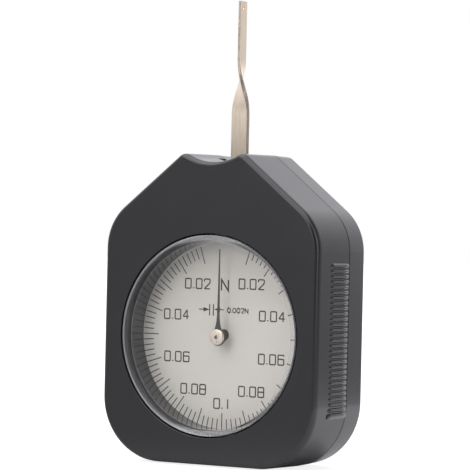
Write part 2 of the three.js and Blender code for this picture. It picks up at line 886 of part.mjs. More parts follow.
// The toothed sector: a narrow rim on two arms that meet in a round hub.
// Its flanks are straight, as on a wheel this large the tooth curve is too flat to show.
function sectorGear() {
  const addendum = gear_module * tooth_addendum_share;
  const dedendum = gear_module * tooth_dedendum_share;
  const root_radius = sector_pitch_radius - dedendum;
  const tip_radius = sector_pitch_radius + addendum;
  const pitch_angle = (2 * Math.PI) / sector_full_teeth;
  const half_pitch_width = (gear_module * Math.PI) / 4 - tooth_backlash / 2;
  const lean = Math.tan(THREE.MathUtils.degToRad(pressure_degrees));
  const half_root = (half_pitch_width + dedendum * lean) / root_radius;
  const half_tip = (half_pitch_width - addendum * lean) / tip_radius;
  const half_angle = sectorHalfAngle();
  const rim_radius = root_radius - sector_rim;
  const points = [sectorPoint(root_radius, -half_angle)];
  for (let i = 0; i < sector_teeth; i += 1) {
    const middle = (i - (sector_teeth - 1) / 2) * pitch_angle;
    points.push(sectorPoint(root_radius, middle - half_root));
    points.push(sectorPoint(tip_radius, middle - half_tip));
    points.push(sectorPoint(tip_radius, middle + half_tip));
    points.push(sectorPoint(root_radius, middle + half_root));
  }
  points.push(sectorPoint(root_radius, half_angle), [0, 0]);
  const wedge = plate(shapeOf(points), sector_front, sector_back);
  const arm_angle = (radius) => half_angle - sector_arm_width / radius;
  const inner_radius = sector_hub_radius + sector_rim;
  const window_points = [];
  for (let k = 0; k <= rim_steps; k += 1) {
    window_points.push(sectorPoint(rim_radius, arm_angle(rim_radius) * ((2 * k) / rim_steps - 1)));
  }
  const near_radius = Math.max(inner_radius, (sector_arm_width / half_angle) * arm_meeting_share);
  window_points.push(sectorPoint(near_radius, arm_angle(near_radius)));
  window_points.push(sectorPoint(near_radius, -arm_angle(near_radius)));
  const opening = plate(shapeOf(window_points), sector_front - overrun, sector_back + overrun);
  const hub = pin(sector_hub_radius, sector_front, sector_back, small_facets * 2);
  return cut(
    join(wedge, hub),
    opening,
    pin(hub_radius + seat_gap, sector_front - overrun, sector_back + overrun),
    ...rivetPlaces().map(([x, z]) => {
      return moved(pin(rivet_radius + seat_gap, sector_front - overrun, sector_back + overrun, tiny_facets), x, 0, z);
    }),
  );
}

// Where the stop pins stand: just past the sector's edges at the ends of its swing
function stopPinPlaces() {
  const clear = (stop_pin_radius + stop_pin_clearance) / stop_pin_drop;
  const angle = sectorHalfAngle() + swing_radians + clear;
  return [-angle, angle].map((side) => {
    const [x, z] = sectorPoint(stop_pin_drop, side);
    return [x, pivot_height + z];
  });
}

function stopPin() {
  const front = front_plate_back + seat_gap;
  return turned([
    [0, front_plate_depth],
    [stop_pin_spigot_radius, front_plate_depth],
    [stop_pin_spigot_radius, front],
    [stop_pin_radius, front],
    [stop_pin_radius, sector_back + hub_overhang],
    [0, sector_back + hub_overhang],
  ], tiny_facets);
}

// Half the angle that a pinion tooth takes up at a radius: an involute, radial below its base circle
function pinionHalfAngle(radius) {
  const pressure = THREE.MathUtils.degToRad(pressure_degrees);
  const base_radius = pinion_pitch_radius * Math.cos(pressure);
  const involute = (angle) => Math.tan(angle) - angle;
  const at_pitch = ((gear_module * Math.PI) / 4 - tooth_backlash / 2) / pinion_pitch_radius;
  const at_radius = Math.acos(Math.min(1, base_radius / radius));
  return at_pitch + involute(pressure) - involute(at_radius);
}

function pinionArbor() {
  const root_radius = pinion_pitch_radius - gear_module * tooth_dedendum_share;
  const tip_radius = pinion_pitch_radius + gear_module * tooth_addendum_share;
  const points = [];
  for (let tooth = 0; tooth < pinion_teeth; tooth += 1) {
    const middle = ((tooth + 0.5) * 2 * Math.PI) / pinion_teeth;
    const flank = [];
    for (let k = 0; k <= flank_steps; k += 1) {
      const radius = root_radius + ((tip_radius - root_radius) * k) / flank_steps;
      flank.push([radius, pinionHalfAngle(radius)]);
    }
    for (const [radius, half] of flank) {
      points.push([radius * Math.sin(middle - half), radius * Math.cos(middle - half)]);
    }
    for (const [radius, half] of flank.reverse()) {
      points.push([radius * Math.sin(middle + half), radius * Math.cos(middle + half)]);
    }
  }
  const gear = plate(shapeOf(points), sector_front - pinion_overhang, sector_back + pinion_overhang);
  const shoulder_front = front_plate_back + seat_gap + bush_flange_thickness + running_gap;
  const shoulder_back = back_plate_depth - seat_gap - bush_flange_thickness - running_gap;
  const tip_start = pointer_hub_front + pointer_hub_length + running_gap;
  const arbor = turned([
    [0, pointer_hub_front + seat_gap * 2],
    [arbor_tip_radius, pointer_hub_front + seat_gap * 2],
    [arbor_tip_radius, tip_start],
    [arbor_journal_radius, tip_start],
    [arbor_journal_radius, shoulder_front],
    [arbor_radius, shoulder_front],
    [arbor_radius, shoulder_back],
    [arbor_pivot_radius, shoulder_back],
    [arbor_pivot_radius, back_plate_back],
    [0, back_plate_back],
  ]);
  return join(arbor, gear);
}

function pointerHub() {
  const bore = arbor_tip_radius + running_gap;
  const front = pointer_hub_front;
  const plate_back = front + pointer_hub_plate;
  return turned([
    [bore, front],
    [pointer_hub_radius - pointer_hub_chamfer, front],
    [pointer_hub_radius, front + pointer_hub_chamfer],
    [pointer_hub_radius, plate_back],
    [pointer_hub_sleeve_radius, plate_back],
    [pointer_hub_sleeve_radius, front + pointer_hub_length],
    [bore, front + pointer_hub_length],
    [bore, front],
  ], small_facets * 2);
}

// A slim needle that flares into a round eye behind the hub's plate
function pointerNeedle() {
  const front = pointer_hub_front + pointer_hub_plate + seat_gap;
  const back = front + needle_thickness;
  const root = pointer_hub_sleeve_radius + seat_gap * 2;
  const right = [];
  for (let k = 0; k <= needle_steps; k += 1) {
    const way = (k / needle_steps) ** 2;
    const rest = 1 - way;
    const half = needle_tip_half_width + needle_taper * rest + needle_flare * rest ** needle_flare_power;
    right.push([half, root + (needle_length - root) * way]);
  }
  const left = right.map(([x, z]) => [-x, z]).reverse();
  const blade = plate(shapeOf([...right, ...left]), front, back);
  const eye = pin(needle_eye_radius, front, back, small_facets * 2);
  return cut(join(blade, eye), pin(pointer_hub_sleeve_radius + seat_gap, front - overrun, back + overrun));
}

// A flat spiral spring about the Y axis that ends on the +X side
function spiral(inner, outer, turns, thickness, front, back) {
  const steps = turns * spiral_steps_per_turn;
  const sides = [[], []];
  for (let k = 0; k <= steps; k += 1) {
    const angle = -2 * Math.PI * turns * (1 - k / steps);
    const middle = inner + ((outer - inner) * k) / steps;
    [middle - thickness / 2, middle + thickness / 2].forEach((radius, side) => {
      sides[side].push([radius * Math.cos(angle), radius * Math.sin(angle)]);
    });
  }
  return plate(shapeOf([...sides[1], ...sides[0].reverse()]), front, back);
}

function hairspring() {
  const inner = arbor_radius + seat_gap + collet_wall + seat_gap + hairspring_thickness / 2;
  const back = hairspring_depth + hairspring_width;
  return spiral(
    inner,
    hairspring_outer_radius,
    hairspring_turns,
    hairspring_thickness,
    hairspring_depth,
    back,
  );
}

function measuringSpring() {
  const inner = shaft_journal_radius + seat_gap + spring_collet_wall + seat_gap + spring_thickness / 2;
  const back = spring_depth + spring_width;
  return spiral(inner, spring_outer_radius, spring_turns, spring_thickness, spring_depth, back);
}

function hairspringCollet() {
  const bore = arbor_radius + seat_gap;
  const front = hairspring_depth + hairspring_width / 2 - collet_length / 2;
  return ring(bore, bore + collet_wall, front, front + collet_length);
}

function springCollet() {
  const bore = shaft_journal_radius + seat_gap;
  const front = spring_depth + spring_width / 2 - spring_collet_length / 2;
  return ring(bore, bore + spring_collet_wall, front, front + spring_collet_length);
}

// A post with a slit that grips the outer end of a spring, on the +X side of its axis
function springStud(radius, seat, free_end, distance, slit_floor, thickness) {
  const post = moved(pin(radius, Math.min(seat, free_end), Math.max(seat, free_end)), distance, 0, 0);
  const half = thickness / 2 + stud_slit_gap;
  const reach = free_end + Math.sign(free_end - seat) * overrun;
  const [y0, y1] = [Math.min(slit_floor, reach), Math.max(slit_floor, reach)];
  return cut(post, box(distance - half, distance + half, y0, y1, -radius - overrun, radius + overrun));
}

function hairspringStud() {
  const seat = back_plate_depth - seat_gap;
  const slit_floor = hairspring_depth + hairspring_width + seat_gap;
  const free_end = hairspring_depth - seat_gap;
  return springStud(
    hair_stud_radius,
    seat,
    free_end,
    hairspring_outer_radius,
    slit_floor,
    hairspring_thickness,
  );
}

function measuringSpringStud() {
  const seat = back_plate_back + seat_gap;
  const slit_floor = spring_depth - seat_gap;
  const free_end = spring_depth + spring_width + seat_gap;
  return springStud(stud_radius, seat, free_end, spring_outer_radius, slit_floor, spring_thickness);
}

function finish(color, roughness, metalness, extra = {}) {
  return new THREE.MeshStandardMaterial({ color, roughness, metalness, ...extra });
}

const materials = {
  case_plastic: finish(0x3a3a3c, 0.42, 0),
  clear_acrylic: finish(0xe8ecec, 0.06, 0, { transparent: true, opacity: 0.25 }),
  dial_silver: finish(0xcac7c2, 0.5, 0.35),
  lever_steel: finish(0xc9bda9, 0.34, 1),
  screw_steel: finish(0x8f8f92, 0.38, 1),
  plate_brass: finish(0xb49a62, 0.36, 1),
  hub_brass: finish(0xd5c9ba, 0.3, 1),
  needle_black: finish(0x2c2b2a, 0.45, 0.2),
  spring_bronze: finish(0xa8834e, 0.32, 1),
};

const gauge = new THREE.Group();
gauge.position.y = -(case_depth - crystal_proud) / 2;

function add(name, geometry, material, parent = gauge, x = 0, z = 0) {
  const mesh = new THREE.Mesh(geometry, material);
  mesh.name = name;
  mesh.position.set(x, 0, z);
  parent.add(mesh);
}

// Groups whose origins lie on the window's centre and on the two axes of the movement
const on_window = new THREE.Group();
on_window.position.z = window_height;
const on_pivot = new THREE.Group();
on_pivot.position.z = pivot_height;
const on_pointer_axis = new THREE.Group();
on_pointer_axis.position.z = pointer_axis_height;
gauge.add(on_window, on_pivot, on_pointer_axis);

add('front_case', frontCase(), materials.case_plastic);
add('rear_cover', rearCover(), materials.case_plastic);
boss_places.forEach(([x, z], i) => {
  add(`case_screw_${i + 1}`, caseScrew(), materials.screw_steel, gauge, x, z);
});
add('window_crystal', windowCrystal(), materials.clear_acrylic, on_window);
add('dial_plate', dialPlate(), materials.dial_silver, on_window);

add('movement_front_plate', movementFrontPlate(), materials.plate_brass);
add('movement_back_plate', movementBackPlate(), materials.plate_brass);
plate_boss_places.forEach(([x, z], i) => {
  add(`front_plate_screw_${i + 1}`, plateScrew(front_plate_back), materials.screw_steel, gauge, x, z);
});
pillar_places.forEach(([x, z], i) => {
  add(`plate_pillar_${i + 1}`, platePillar(), materials.plate_brass, gauge, x, z);
  add(`back_plate_screw_${i + 1}`, plateScrew(back_plate_back), materials.screw_steel, gauge, x, z);
});
stopPinPlaces().forEach(([x, z], i) => {
  add(`stop_pin_${i + 1}`, stopPin(), materials.screw_steel, gauge, x, z);
});

add('lever_front_bush', bush(front_plate_depth, shaft_journal_radius, 1), materials.spring_bronze, on_pivot);
add('lever_back_bush', bush(back_plate_depth, shaft_journal_radius, -1), materials.spring_bronze, on_pivot);
add('lever_shaft', leverShaft(), materials.screw_steel, on_pivot);
add('lever_hub', leverHub(), materials.plate_brass, on_pivot);
add('feeler_lever', feelerLever(), materials.lever_steel, on_pivot);
add('sector_gear', sectorGear(), materials.plate_brass, on_pivot);
rivetPlaces().forEach(([x, z], i) => {
  add(`hub_rivet_${i + 1}`, hubRivet(), materials.screw_steel, on_pivot, x, z);
});
add('spring_collet', springCollet(), materials.plate_brass, on_pivot);
add('measuring_spring', measuringSpring(), materials.spring_bronze, on_pivot);
add('measuring_spring_stud', measuringSpringStud(), materials.plate_brass, on_pivot);

const pointer_front_bush = bush(front_plate_depth, arbor_journal_radius, 1);
const pointer_back_bush = bush(back_plate_depth, arbor_pivot_radius, -1);
add('pointer_front_bush', pointer_front_bush, materials.spring_bronze, on_pointer_axis);
add('pointer_back_bush', pointer_back_bush, materials.spring_bronze, on_pointer_axis);
add('pinion_arbor', pinionArbor(), materials.screw_steel, on_pointer_axis);
add('pointer_hub', pointerHub(), materials.hub_brass, on_pointer_axis);
add('pointer_needle', pointerNeedle(), materials.needle_black, on_pointer_axis);
add('hairspring_collet', hairspringCollet(), materials.plate_brass, on_pointer_axis);
add('hairspring', hairspring(), materials.spring_bronze, on_pointer_axis);
add('hairspring_stud', hairspringStud(), materials.plate_brass, on_pointer_axis);

export default gauge;
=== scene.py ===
"""Dial tension gauge: the finish of every surface, and the fine meshes of the pieces that show.

Lengths are in millimetres until a mesh is made, which turns them to metres. X is to the right of
someone who faces the dial and Z is up. Depths count from the front face of the case to the back.
"""

import json
import math

import bmesh
import bpy
import numpy as np
from mathutils import Matrix, Vector


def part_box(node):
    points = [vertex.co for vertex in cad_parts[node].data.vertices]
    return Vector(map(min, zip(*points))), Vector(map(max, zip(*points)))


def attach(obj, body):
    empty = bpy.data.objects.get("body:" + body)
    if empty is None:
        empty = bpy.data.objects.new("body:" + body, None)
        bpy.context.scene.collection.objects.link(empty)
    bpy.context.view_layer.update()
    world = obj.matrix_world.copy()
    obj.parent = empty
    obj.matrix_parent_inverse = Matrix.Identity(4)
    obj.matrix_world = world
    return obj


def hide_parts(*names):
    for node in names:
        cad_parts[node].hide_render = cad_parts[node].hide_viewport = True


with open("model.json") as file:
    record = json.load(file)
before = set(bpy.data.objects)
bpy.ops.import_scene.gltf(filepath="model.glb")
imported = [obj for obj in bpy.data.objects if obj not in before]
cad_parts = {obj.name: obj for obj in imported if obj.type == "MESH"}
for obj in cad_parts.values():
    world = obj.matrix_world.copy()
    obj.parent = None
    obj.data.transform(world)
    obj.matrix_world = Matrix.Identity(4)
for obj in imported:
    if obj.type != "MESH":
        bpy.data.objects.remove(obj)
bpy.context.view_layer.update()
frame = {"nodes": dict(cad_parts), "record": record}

MM = 0.001
FACE_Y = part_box("front_case")[0][1]

# How far every cutter reaches past what it cuts
OVERRUN = 1.0

# Case outline at the parting line
CASE_WIDTH = 66.16
SHOULDER_HEIGHT = 64.97
CREST_HEIGHT = 84.3
CREST_OFFSET = 9.12
DIP_POINT_HEIGHT = 79.5
FOOT_RADIUS = 17.6
SHOULDER_RADIUS = 14.6
CREST_RADIUS = 2.7
DIP_RADIUS = 16.35
LEAST_RADIUS = 0.3
DRAFT_SLOPE = math.tan(math.radians(0.6))
COVER_DRAFT_SLOPE = math.tan(math.radians(1.2))
UNDERSIDE_SLOPE = math.tan(math.radians(1.3))

# Share of an edge that a corner's round may take, and that the dip's round may take
EDGE_SHARE = 0.49
DIP_EDGE_SHARE = 0.97

# How far the points of a window loop are moved towards even steps
EVEN_SHARE = 0.3

# Case depths and walls
CASE_DEPTH = 27.45
WALL = 2.2
FRONT_WALL = 2.6
BACK_WALL = 2.2
FRONT_EDGE = 1.15
FRONT_EDGE_DEPTH = 2.1
BACK_EDGE = 1.65

# Parting line: a groove down to where the cover rests on the front case, and the cover's locating lip
PARTING_DEPTH = 17.55
SEAM_GAP = 0.15
SEAM_LIP = 0.2
SEAM_DEPTH = 0.5
COVER_FRONT = PARTING_DEPTH + SEAM_GAP
COVER_REST = PARTING_DEPTH + 0.01
LIP_FRONT = PARTING_DEPTH - 1.5
LIP_THICKNESS = 1.1
LIP_PLAY = 0.1

# Slot for the lever in the dip
SLOT_HALF = 6.1
SLOT_FRONT = 13.8
SLOT_FLOOR = 74.95

# Grip ribs. A flank has a half width at each height, from its sunk foot up to the crest. The shares
# are those heights without the foot, as parts of RIB_HEIGHT.
RIB_COUNT = 29
RIB_PITCH = 1.408
RIB_MIDDLE_HEIGHT = 34.75
RIB_FRONT = 7.25
RIB_BACK = 17.4
RIB_HEIGHT = 0.4
RIB_FRONT_END = 1.2
RIB_BACK_END = 2.5
RIB_SINK = 0.4
RIB_END_SINK = 0.1
RIB_FLANK = (0.78, 0.53, 0.25, 0.13)
RIB_FLANK_SHARES = (0.0, 0.84, 1.0)
RIB_OUTER_FLANK = (1.07, 0.67, 0.3, 0.13)
RIB_OUTER_FLANK_SHARES = (0.0, 0.8, 1.0)

# Screws in the rear cover: places to either side, bosses and holes
FOOT_SCREW = (24.58, 11.5)
SHOULDER_SCREW = (25.48, 58.0)
REAR_BOSS_RADIUS = 4.1
SCREW_HOLE = 1.55
SCREW_HEAD_HOLE = 2.75
SCREW_SEAT = 23.7

# Window bore
WINDOW_HEIGHT = 35.0
BORE_RADIUS = 27.32
BORE_EDGE = 0.12
SEAT_RADIUS = 28.4
SEAT_DEPTH = 7.45
COLLAR_RADIUS = 29.6
COLLAR_BACK = 9.5

# Crystal: a cup with a flange at its back. The rim and a band about its inner corner are satin, with painted
# light there.
CRYSTAL_RADIUS = 26.85
CRYSTAL_PROUD = 0.05
CRYSTAL_PLATE = 1.95
CRYSTAL_WALL = 1.5
CRYSTAL_EDGE = 0.4
CRYSTAL_RIM = 0.72
CRYSTAL_CORNER = 0.35
CORNER_BAND = 0.45
CRYSTAL_BACK = 8.6
FLANGE_WIDTH = 1.35
FLANGE_THICKNESS = 1.0

# Dial
DIAL_DEPTH = 8.75
DIAL_THICKNESS = 0.6
DIAL_HOLE = 1.6

# Dial print
TICK_DEGREES = 3.6
TICKS_PER_LONG = 5
BARE_TICKS = 5
LONG_TICK_START = 20.55
SHORT_TICK_START = 22.2
TICK_END = 25.3
TICK_WIDTH = 0.27
INK_THICKNESS = 0.02
MITRE_LIMIT = 0.3
DOT_WEIGHT = 1.3
NUMERAL_STYLE = {
    "width": 1.75, "height": 2.62, "pitch": 0.78, "weight": 0.36, "dot_room": 0.9, "corner": 0.3,
}
UNIT_STYLE = {
    "width": 2.15, "height": 2.95, "pitch": 0.4, "weight": 0.42, "dot_room": 0.9, "corner": 0.3,
}
DIVISION_STYLE = {
    "width": 0.88, "height": 1.2, "pitch": 0.38, "weight": 0.26, "dot_room": 0.42, "corner": 0.45,
}
ARROW_SHAFT = 0.26
ARROW_HEAD_LENGTH = 1.9
ARROW_HEAD_HALF = 0.62
BAR_WIDTH = 0.31

# Text, its middle from the window's centre, and its style
PRINTED = [
    ("0.02", -8.5, 13.6, NUMERAL_STYLE),
    ("0.02", 8.3, 13.9, NUMERAL_STYLE),
    ("0.04", -15.0, 5.1, NUMERAL_STYLE),
    ("0.04", 14.8, 5.5, NUMERAL_STYLE),
    ("0.06", -14.6, -6.4, NUMERAL_STYLE),
    ("0.06", 14.8, -6.0, NUMERAL_STYLE),
    ("0.08", -9.2, -15.0, NUMERAL_STYLE),
    ("0.08", 8.9, -14.9, NUMERAL_STYLE),
    ("0.1", 0.0, -18.55, NUMERAL_STYLE),
    ("N", 0.04, 13.42, UNIT_STYLE),
    ("0.002N", 4.2, 6.7, DIVISION_STYLE),
]

# Division mark from the window's centre: tail, tip and height of each arrow, then the bars
DIVISION_ARROWS = [(-7.95, -4.6, 6.72), (-0.15, -3.22, 6.8)]
DIVISION_BARS = (-4.58, -3.39)
DIVISION_BAR_SPAN = (5.1, 8.2)

# Lever
PIVOT_HEIGHT = 61.375
LEVER_DEPTH = 15.15
LEVER_TIP = 125.5
LEVER_ROOT_WIDTH = 4.85
LEVER_TIP_WIDTH = 3.55
LEVER_ROOT_THICKNESS = 1.5
LEVER_TIP_THICKNESS = 0.78
TWIST_START = 94.3
TWIST_END = 110.3
TWIST_RUN_OUT = 0.5
LEVER_EDGE = 0.16
LEVER_HOLE = 0.55
LEVER_HOLE_HEIGHT = 123.75
LEVER_EYE = 4.4
LEVER_EYE_BORE = 2.15

# A face of the strip is a sheared one if it looks this squarely to the side
SHEARED_FACING = 0.97

# Pointer
AXIS_HEIGHT = 34.5
HUB_FRONT = 4.65
HUB_RADIUS = 2.15
HUB_PLATE = 0.75
HUB_SLEEVE = 1.1
HUB_LENGTH = 3.2
HUB_BORE = 0.51
HUB_EDGE = 0.26
HUB_PLAY = 0.15
NEEDLE_LENGTH = 23.6
NEEDLE_THICKNESS = 0.2
NEEDLE_EYE = 2.36
NEEDLE_ROOT_HALF = 0.86
NEEDLE_TIP_HALF = 0.11
NEEDLE_TAPER = 0.27
NEEDLE_FLARE = 0.65
NEEDLE_FLARE_POWER = 14
NEEDLE_STEP_POWER = 1.6

# Camera in millimetres of the frame, fitted to the photograph
CAMERA_PLACE = (346.46, -600.32, 63.35)
CAMERA_RIGHT = (0.8658, 0.4998, 0.0228)
CAMERA_UP = (-0.0207, -0.0097, 0.9997)
CAMERA_LENS = 195.8

# Acrylic bends light by this much, and nearly all values of a noise lie in the range
ACRYLIC_IOR = 1.49
NOISE_RANGE = (0.3, 0.7)


# Materials

def linear(hex_colour):
    """An sRGB hex colour as the linear colour that shaders take."""
    channels = [int(hex_colour[i:i + 2], 16) / 255 for i in (1, 3, 5)]
    return [c / 12.92 if c <= 0.04045 else ((c + 0.055) / 1.055) ** 2.4 for c in channels] + [1]


def new_material(name):
    material = bpy.data.materials.new(name)
    material.use_nodes = True
    material.node_tree.nodes.clear()
    return material


def node(owner, kind, links=(), **settings):
    """Adds a node. Settings are inputs or properties by name, and links pair an input with an output."""
    made = owner.node_tree.nodes.new(kind)
    for name, value in settings.items():
        label = name.replace("_", " ")
        socket = next((s for s in made.inputs if s.name.lower() == label.lower() and s.enabled), None)
        if socket is None:
            setattr(made, name, value)
        else:
            socket.default_value = value
    for name, output in links:
        owner.node_tree.links.new(output, made.inputs[name])
    return made


def surface(material, shader):
    node(material, "ShaderNodeOutputMaterial", [("Surface", shader.outputs[0])])
    return material


def maths(owner, kind, *values):
    """One sum. Each value is a number or another node's output."""
    made = node(owner, "ShaderNodeMath", operation=kind)
    for socket, value in zip(made.inputs, values):
        if isinstance(value, (int, float)):
            socket.default_value = value
        else:
            owner.node_tree.links.new(value, socket)
    return made.outputs[0]


def remap(owner, value, low, high, start, end, kind="LINEAR"):
    """A value taken from one range to another and held at its ends."""
    return node(owner, "ShaderNodeMapRange", [("Value", value)], from_min=low, from_max=high,
                to_min=start, to_max=end, interpolation_type=kind).outputs["Result"]


def mixed(owner, share, first, second):
    """The first shader, with a share of the second."""
    return node(owner, "ShaderNodeMixShader", [(0, share), (1, first.outputs[0]), (2, second.outputs[0])])


def object_place(owner):
    return node(owner, "ShaderNodeTexCoord").outputs["Object"]


def specks(owner, size_mm, detail=2.0, at=None):
    """Noise whose specks are about a size across."""
    links = [("Vector", at or object_place(owner))]
    return node(owner, "ShaderNodeTexNoise", links, scale=1 / (size_mm * MM), detail=detail).outputs["Fac"]


def two_tones(owner, value, dark, light, low=0.0, high=1.0):
    """A colour between two, by a value."""
    made = node(owner, "ShaderNodeValToRGB", [("Fac", value)])
    for stop, position, hex_colour in zip(made.color_ramp.elements, (low, high), (dark, light)):
        stop.position = position
        stop.color = linear(hex_colour)
    return made.outputs["Color"]


def moulded_abs():
    """Black ABS, injection moulded in a spark-eroded tool: satin, with a fine even grain."""
    m = new_material("moulded ABS")
    grain = specks(m, 0.35, 3.0)
    bump = node(m, "ShaderNodeBump", [("Height", grain)], strength=0.25, distance=0.02 * MM)
    shader = node(m, "ShaderNodeBsdfPrincipled", [
        ("Base Color", two_tones(m, grain, "#1b1b1d", "#222224")),
        ("Roughness", remap(m, specks(m, 14.0), *NOISE_RANGE, 0.16, 0.21)),
        ("Normal", bump.outputs["Normal"]),
    ], ior=1.53)
    return surface(m, shader)


def polished_acrylic(name, seen_through, least_rough, most_rough):
    """Moulded and polished: both sides of a surface mirror alike, and the rest is let through, tinted. A
    dark tint is painted shade.
    """
    m = new_material(name)
    rough = remap(m, specks(m, 9.0), *NOISE_RANGE, least_rough, most_rough)
    through = node(m, "ShaderNodeBsdfTransparent", color=linear(seen_through))
    mirror = node(m, "ShaderNodeBsdfGlossy", [("Roughness", rough)], color=(1, 1, 1, 1))
    back = node(m, "ShaderNodeNewGeometry").outputs["Backfacing"]
    bend = remap(m, back, 0.0, 1.0, ACRYLIC_IOR, 1 / ACRYLIC_IOR)
    share = node(m, "ShaderNodeFresnel", [("IOR", bend)])
    return surface(m, mixed(m, share.outputs[0], through, mirror))


def from_window(owner, at):
    """How far a point lies above or below the window's centre."""
    height = node(owner, "ShaderNodeSeparateXYZ", [("Vector", at)]).outputs["Z"]
    return maths(owner, "ABSOLUTE", maths(owner, "SUBTRACT", height, WINDOW_HEIGHT * MM))


def acrylic_with_satin_and_painted_light(name, white_share_aside, white_share_above):
    """Acrylic mixed with a share of white scatter, another share aside than at top and bottom. The white is
    partly a satin finish and partly painted light, for light that the acrylic carries there.
    """
    m = new_material(name)
    at = object_place(m)
    low, high = 0.86 * CRYSTAL_RADIUS * MM, 0.98 * CRYSTAL_RADIUS * MM
    share = remap(m, from_window(m, at), low, high, white_share_aside, white_share_above, "SMOOTHSTEP")
    uneven = remap(m, specks(m, 0.5, at=at), *NOISE_RANGE, 0.9, 1.1)
    white = node(m, "ShaderNodeBsdfPrincipled", roughness=0.4, ior=ACRYLIC_IOR, base_color=linear("#e6e6e8"))
    clear = node(m, "ShaderNodeBsdfTransparent", color=linear("#f4f4f4"))
    return surface(m, mixed(m, maths(m, "MULTIPLY", share, uneven), clear, white))


def turned_acrylic_with_painted_light():
    """The outside of the cup's wall, fine-turned, its colour painted paler towards top and bottom: painted
    light for the light that falls in there.
    """
    m = new_material("turned acrylic edge with painted light")
    at = object_place(m)
    share = remap(m, from_window(m, at), 0.0, CRYSTAL_RADIUS * MM, 0.0, 1.0)
    uneven = remap(m, specks(m, 0.3, at=at), 0.0, 1.0, -0.02, 0.02)
    tint = node(m, "ShaderNodeValToRGB", [("Fac", maths(m, "ADD", share, uneven))])
    stops = tint.color_ramp.elements
    stops[0].color = linear("#8c8c8e")
    stops[1].color = linear("#f0f0f0")
    for share_up, hex_colour in ((0.5, "#8e8e90"), (0.75, "#a4a4a6"), (0.9, "#c0c0c0")):
        stops.new(share_up).color = linear(hex_colour)
    links = [("Base Color", tint.outputs["Color"])]
    return surface(m, node(m, "ShaderNodeBsdfPrincipled", links, roughness=0.3, metallic=0.3))


def silvered_dial():
    """Brass dial, fine grained and silvered under matt lacquer: pale, with a soft even sheen."""
    m = new_material("silvered dial")
    grain = specks(m, 0.22, 4.0)
    bump = node(m, "ShaderNodeBump", [("Height", grain)], strength=0.2, distance=0.01 * MM)
    shader = node(m, "ShaderNodeBsdfPrincipled", [
        ("Base Color", two_tones(m, grain, "#dbd7d1", "#e3dfd9", *NOISE_RANGE)),
        ("Normal", bump.outputs["Normal"]),
    ], metallic=0.2, roughness=0.5)
    return surface(m, shader)


def mottled_coat(name, dark, light, roughness, speck_mm):
    """A thin or dull coat in two close tones, in specks of a size."""
    m = new_material(name)
    links = [("Base Color", two_tones(m, specks(m, speck_mm), dark, light))]
    return surface(m, node(m, "ShaderNodeBsdfPrincipled", links, roughness=roughness))


def metal(name, dark, light, roughness, grain_mm, stretch=(1, 1, 1), depth_mm=0.004, painted_shade_below=None):
    """A metal whose tooling marks run along the axis with the least stretch.

    Painted shade below darkens the colour low down, as shade near the case: it gives the lower and the upper
    height of the change, and the share of the colour that is left below it.
    """
    m = new_material(name)
    at = object_place(m)
    lie = node(m, "ShaderNodeMapping", [("Vector", at)])
    lie.inputs["Scale"].default_value = stretch
    grain = specks(m, grain_mm, 3.0, lie.outputs["Vector"])
    colour = two_tones(m, grain, dark, light, *NOISE_RANGE)
    # Painted shade: the colour darkens below a height
    if painted_shade_below:
        low, high, least = painted_shade_below
        height = node(m, "ShaderNodeSeparateXYZ", [("Vector", at)]).outputs["Z"]
        links = [(0, colour), ("Scale", remap(m, height, low * MM, high * MM, least, 1.0))]
        colour = node(m, "ShaderNodeVectorMath", links, operation="SCALE").outputs[0]
    bump = node(m, "ShaderNodeBump", [("Height", grain)], strength=0.3, distance=depth_mm * MM)
    shader = node(m, "ShaderNodeBsdfPrincipled", [
        ("Base Color", colour),
        ("Roughness", remap(m, grain, *NOISE_RANGE, roughness * 0.85, roughness * 1.2)),
        ("Normal", bump.outputs["Normal"]),
    ], metallic=1.0)
    return surface(m, shader)


ABS = moulded_abs()

# The same plastic where the core pin left it matt, its colour darker than the case's: painted shade in the
# bore
MATT_BORE_PAINTED_SHADE = mottled_coat("matt moulded bore in painted shade", "#0e0e0f", "#151516", 0.7, 0.2)

# The crystal: clear plate, wall tinted dark as painted shade of the dark bore behind it, satin corners,
# plate over the wall
ACRYLIC = polished_acrylic("polished acrylic", "#fdfdfc", 0.02, 0.06)
ACRYLIC_WALL_PAINTED_SHADE = polished_acrylic("acrylic wall in painted shade", "#1c1c1e", 0.03, 0.07)
# Painted light: the turned outside is painted paler towards top and bottom
TURNED_EDGE_WITH_PAINTED_LIGHT = turned_acrylic_with_painted_light()
# Satin rim and inner corner, partly painted light: a white share, a little more at top and bottom
SATIN_RIM_WITH_PAINTED_LIGHT = acrylic_with_satin_and_painted_light("satin acrylic corner with painted light", 0.2, 0.27)
# Painted light: the plate over the wall is painted paler at top and bottom
PAINTED_LIGHT_OVER_WALL = acrylic_with_satin_and_painted_light("painted light on acrylic over its wall", 0.03, 0.32)

# Dial and needle
SILVER = silvered_dial()
INK = mottled_coat("printed ink", "#120f0c", "#1a1714", 0.5, 0.5)
LACQUER = mottled_coat("black lacquer", "#2c2620", "#3a332c", 0.45, 0.3)

# Metals
# The lever is painted darker low down: painted shade near the case
LEVER_STEEL = metal(
    "satin-ground spring steel", "#ecdac4", "#fbeedb", 0.34, 0.35, (1, 1, 0.04), painted_shade_below=(80, 110, 0.4),
)
SHEARED_STEEL = metal("sheared steel edge", "#7c736a", "#d2c5b6", 0.45, 0.2, (1, 1, 0.5), 0.01)
SCREW_STEEL = metal("turned screw steel", "#86868a", "#a0a0a2", 0.34, 0.4)
PLATE_BRASS = metal("brushed brass", "#b08f4e", "#c9a868", 0.33, 0.4, (0.05, 1, 1))
HUB_BRASS = metal("nickel-washed brass", "#ecdccd", "#f8ece0", 0.3, 0.5, depth_mm=0.0012)
SPRING_BRONZE = metal("rolled bronze", "#9c7440", "#b88d55", 0.3, 0.4)
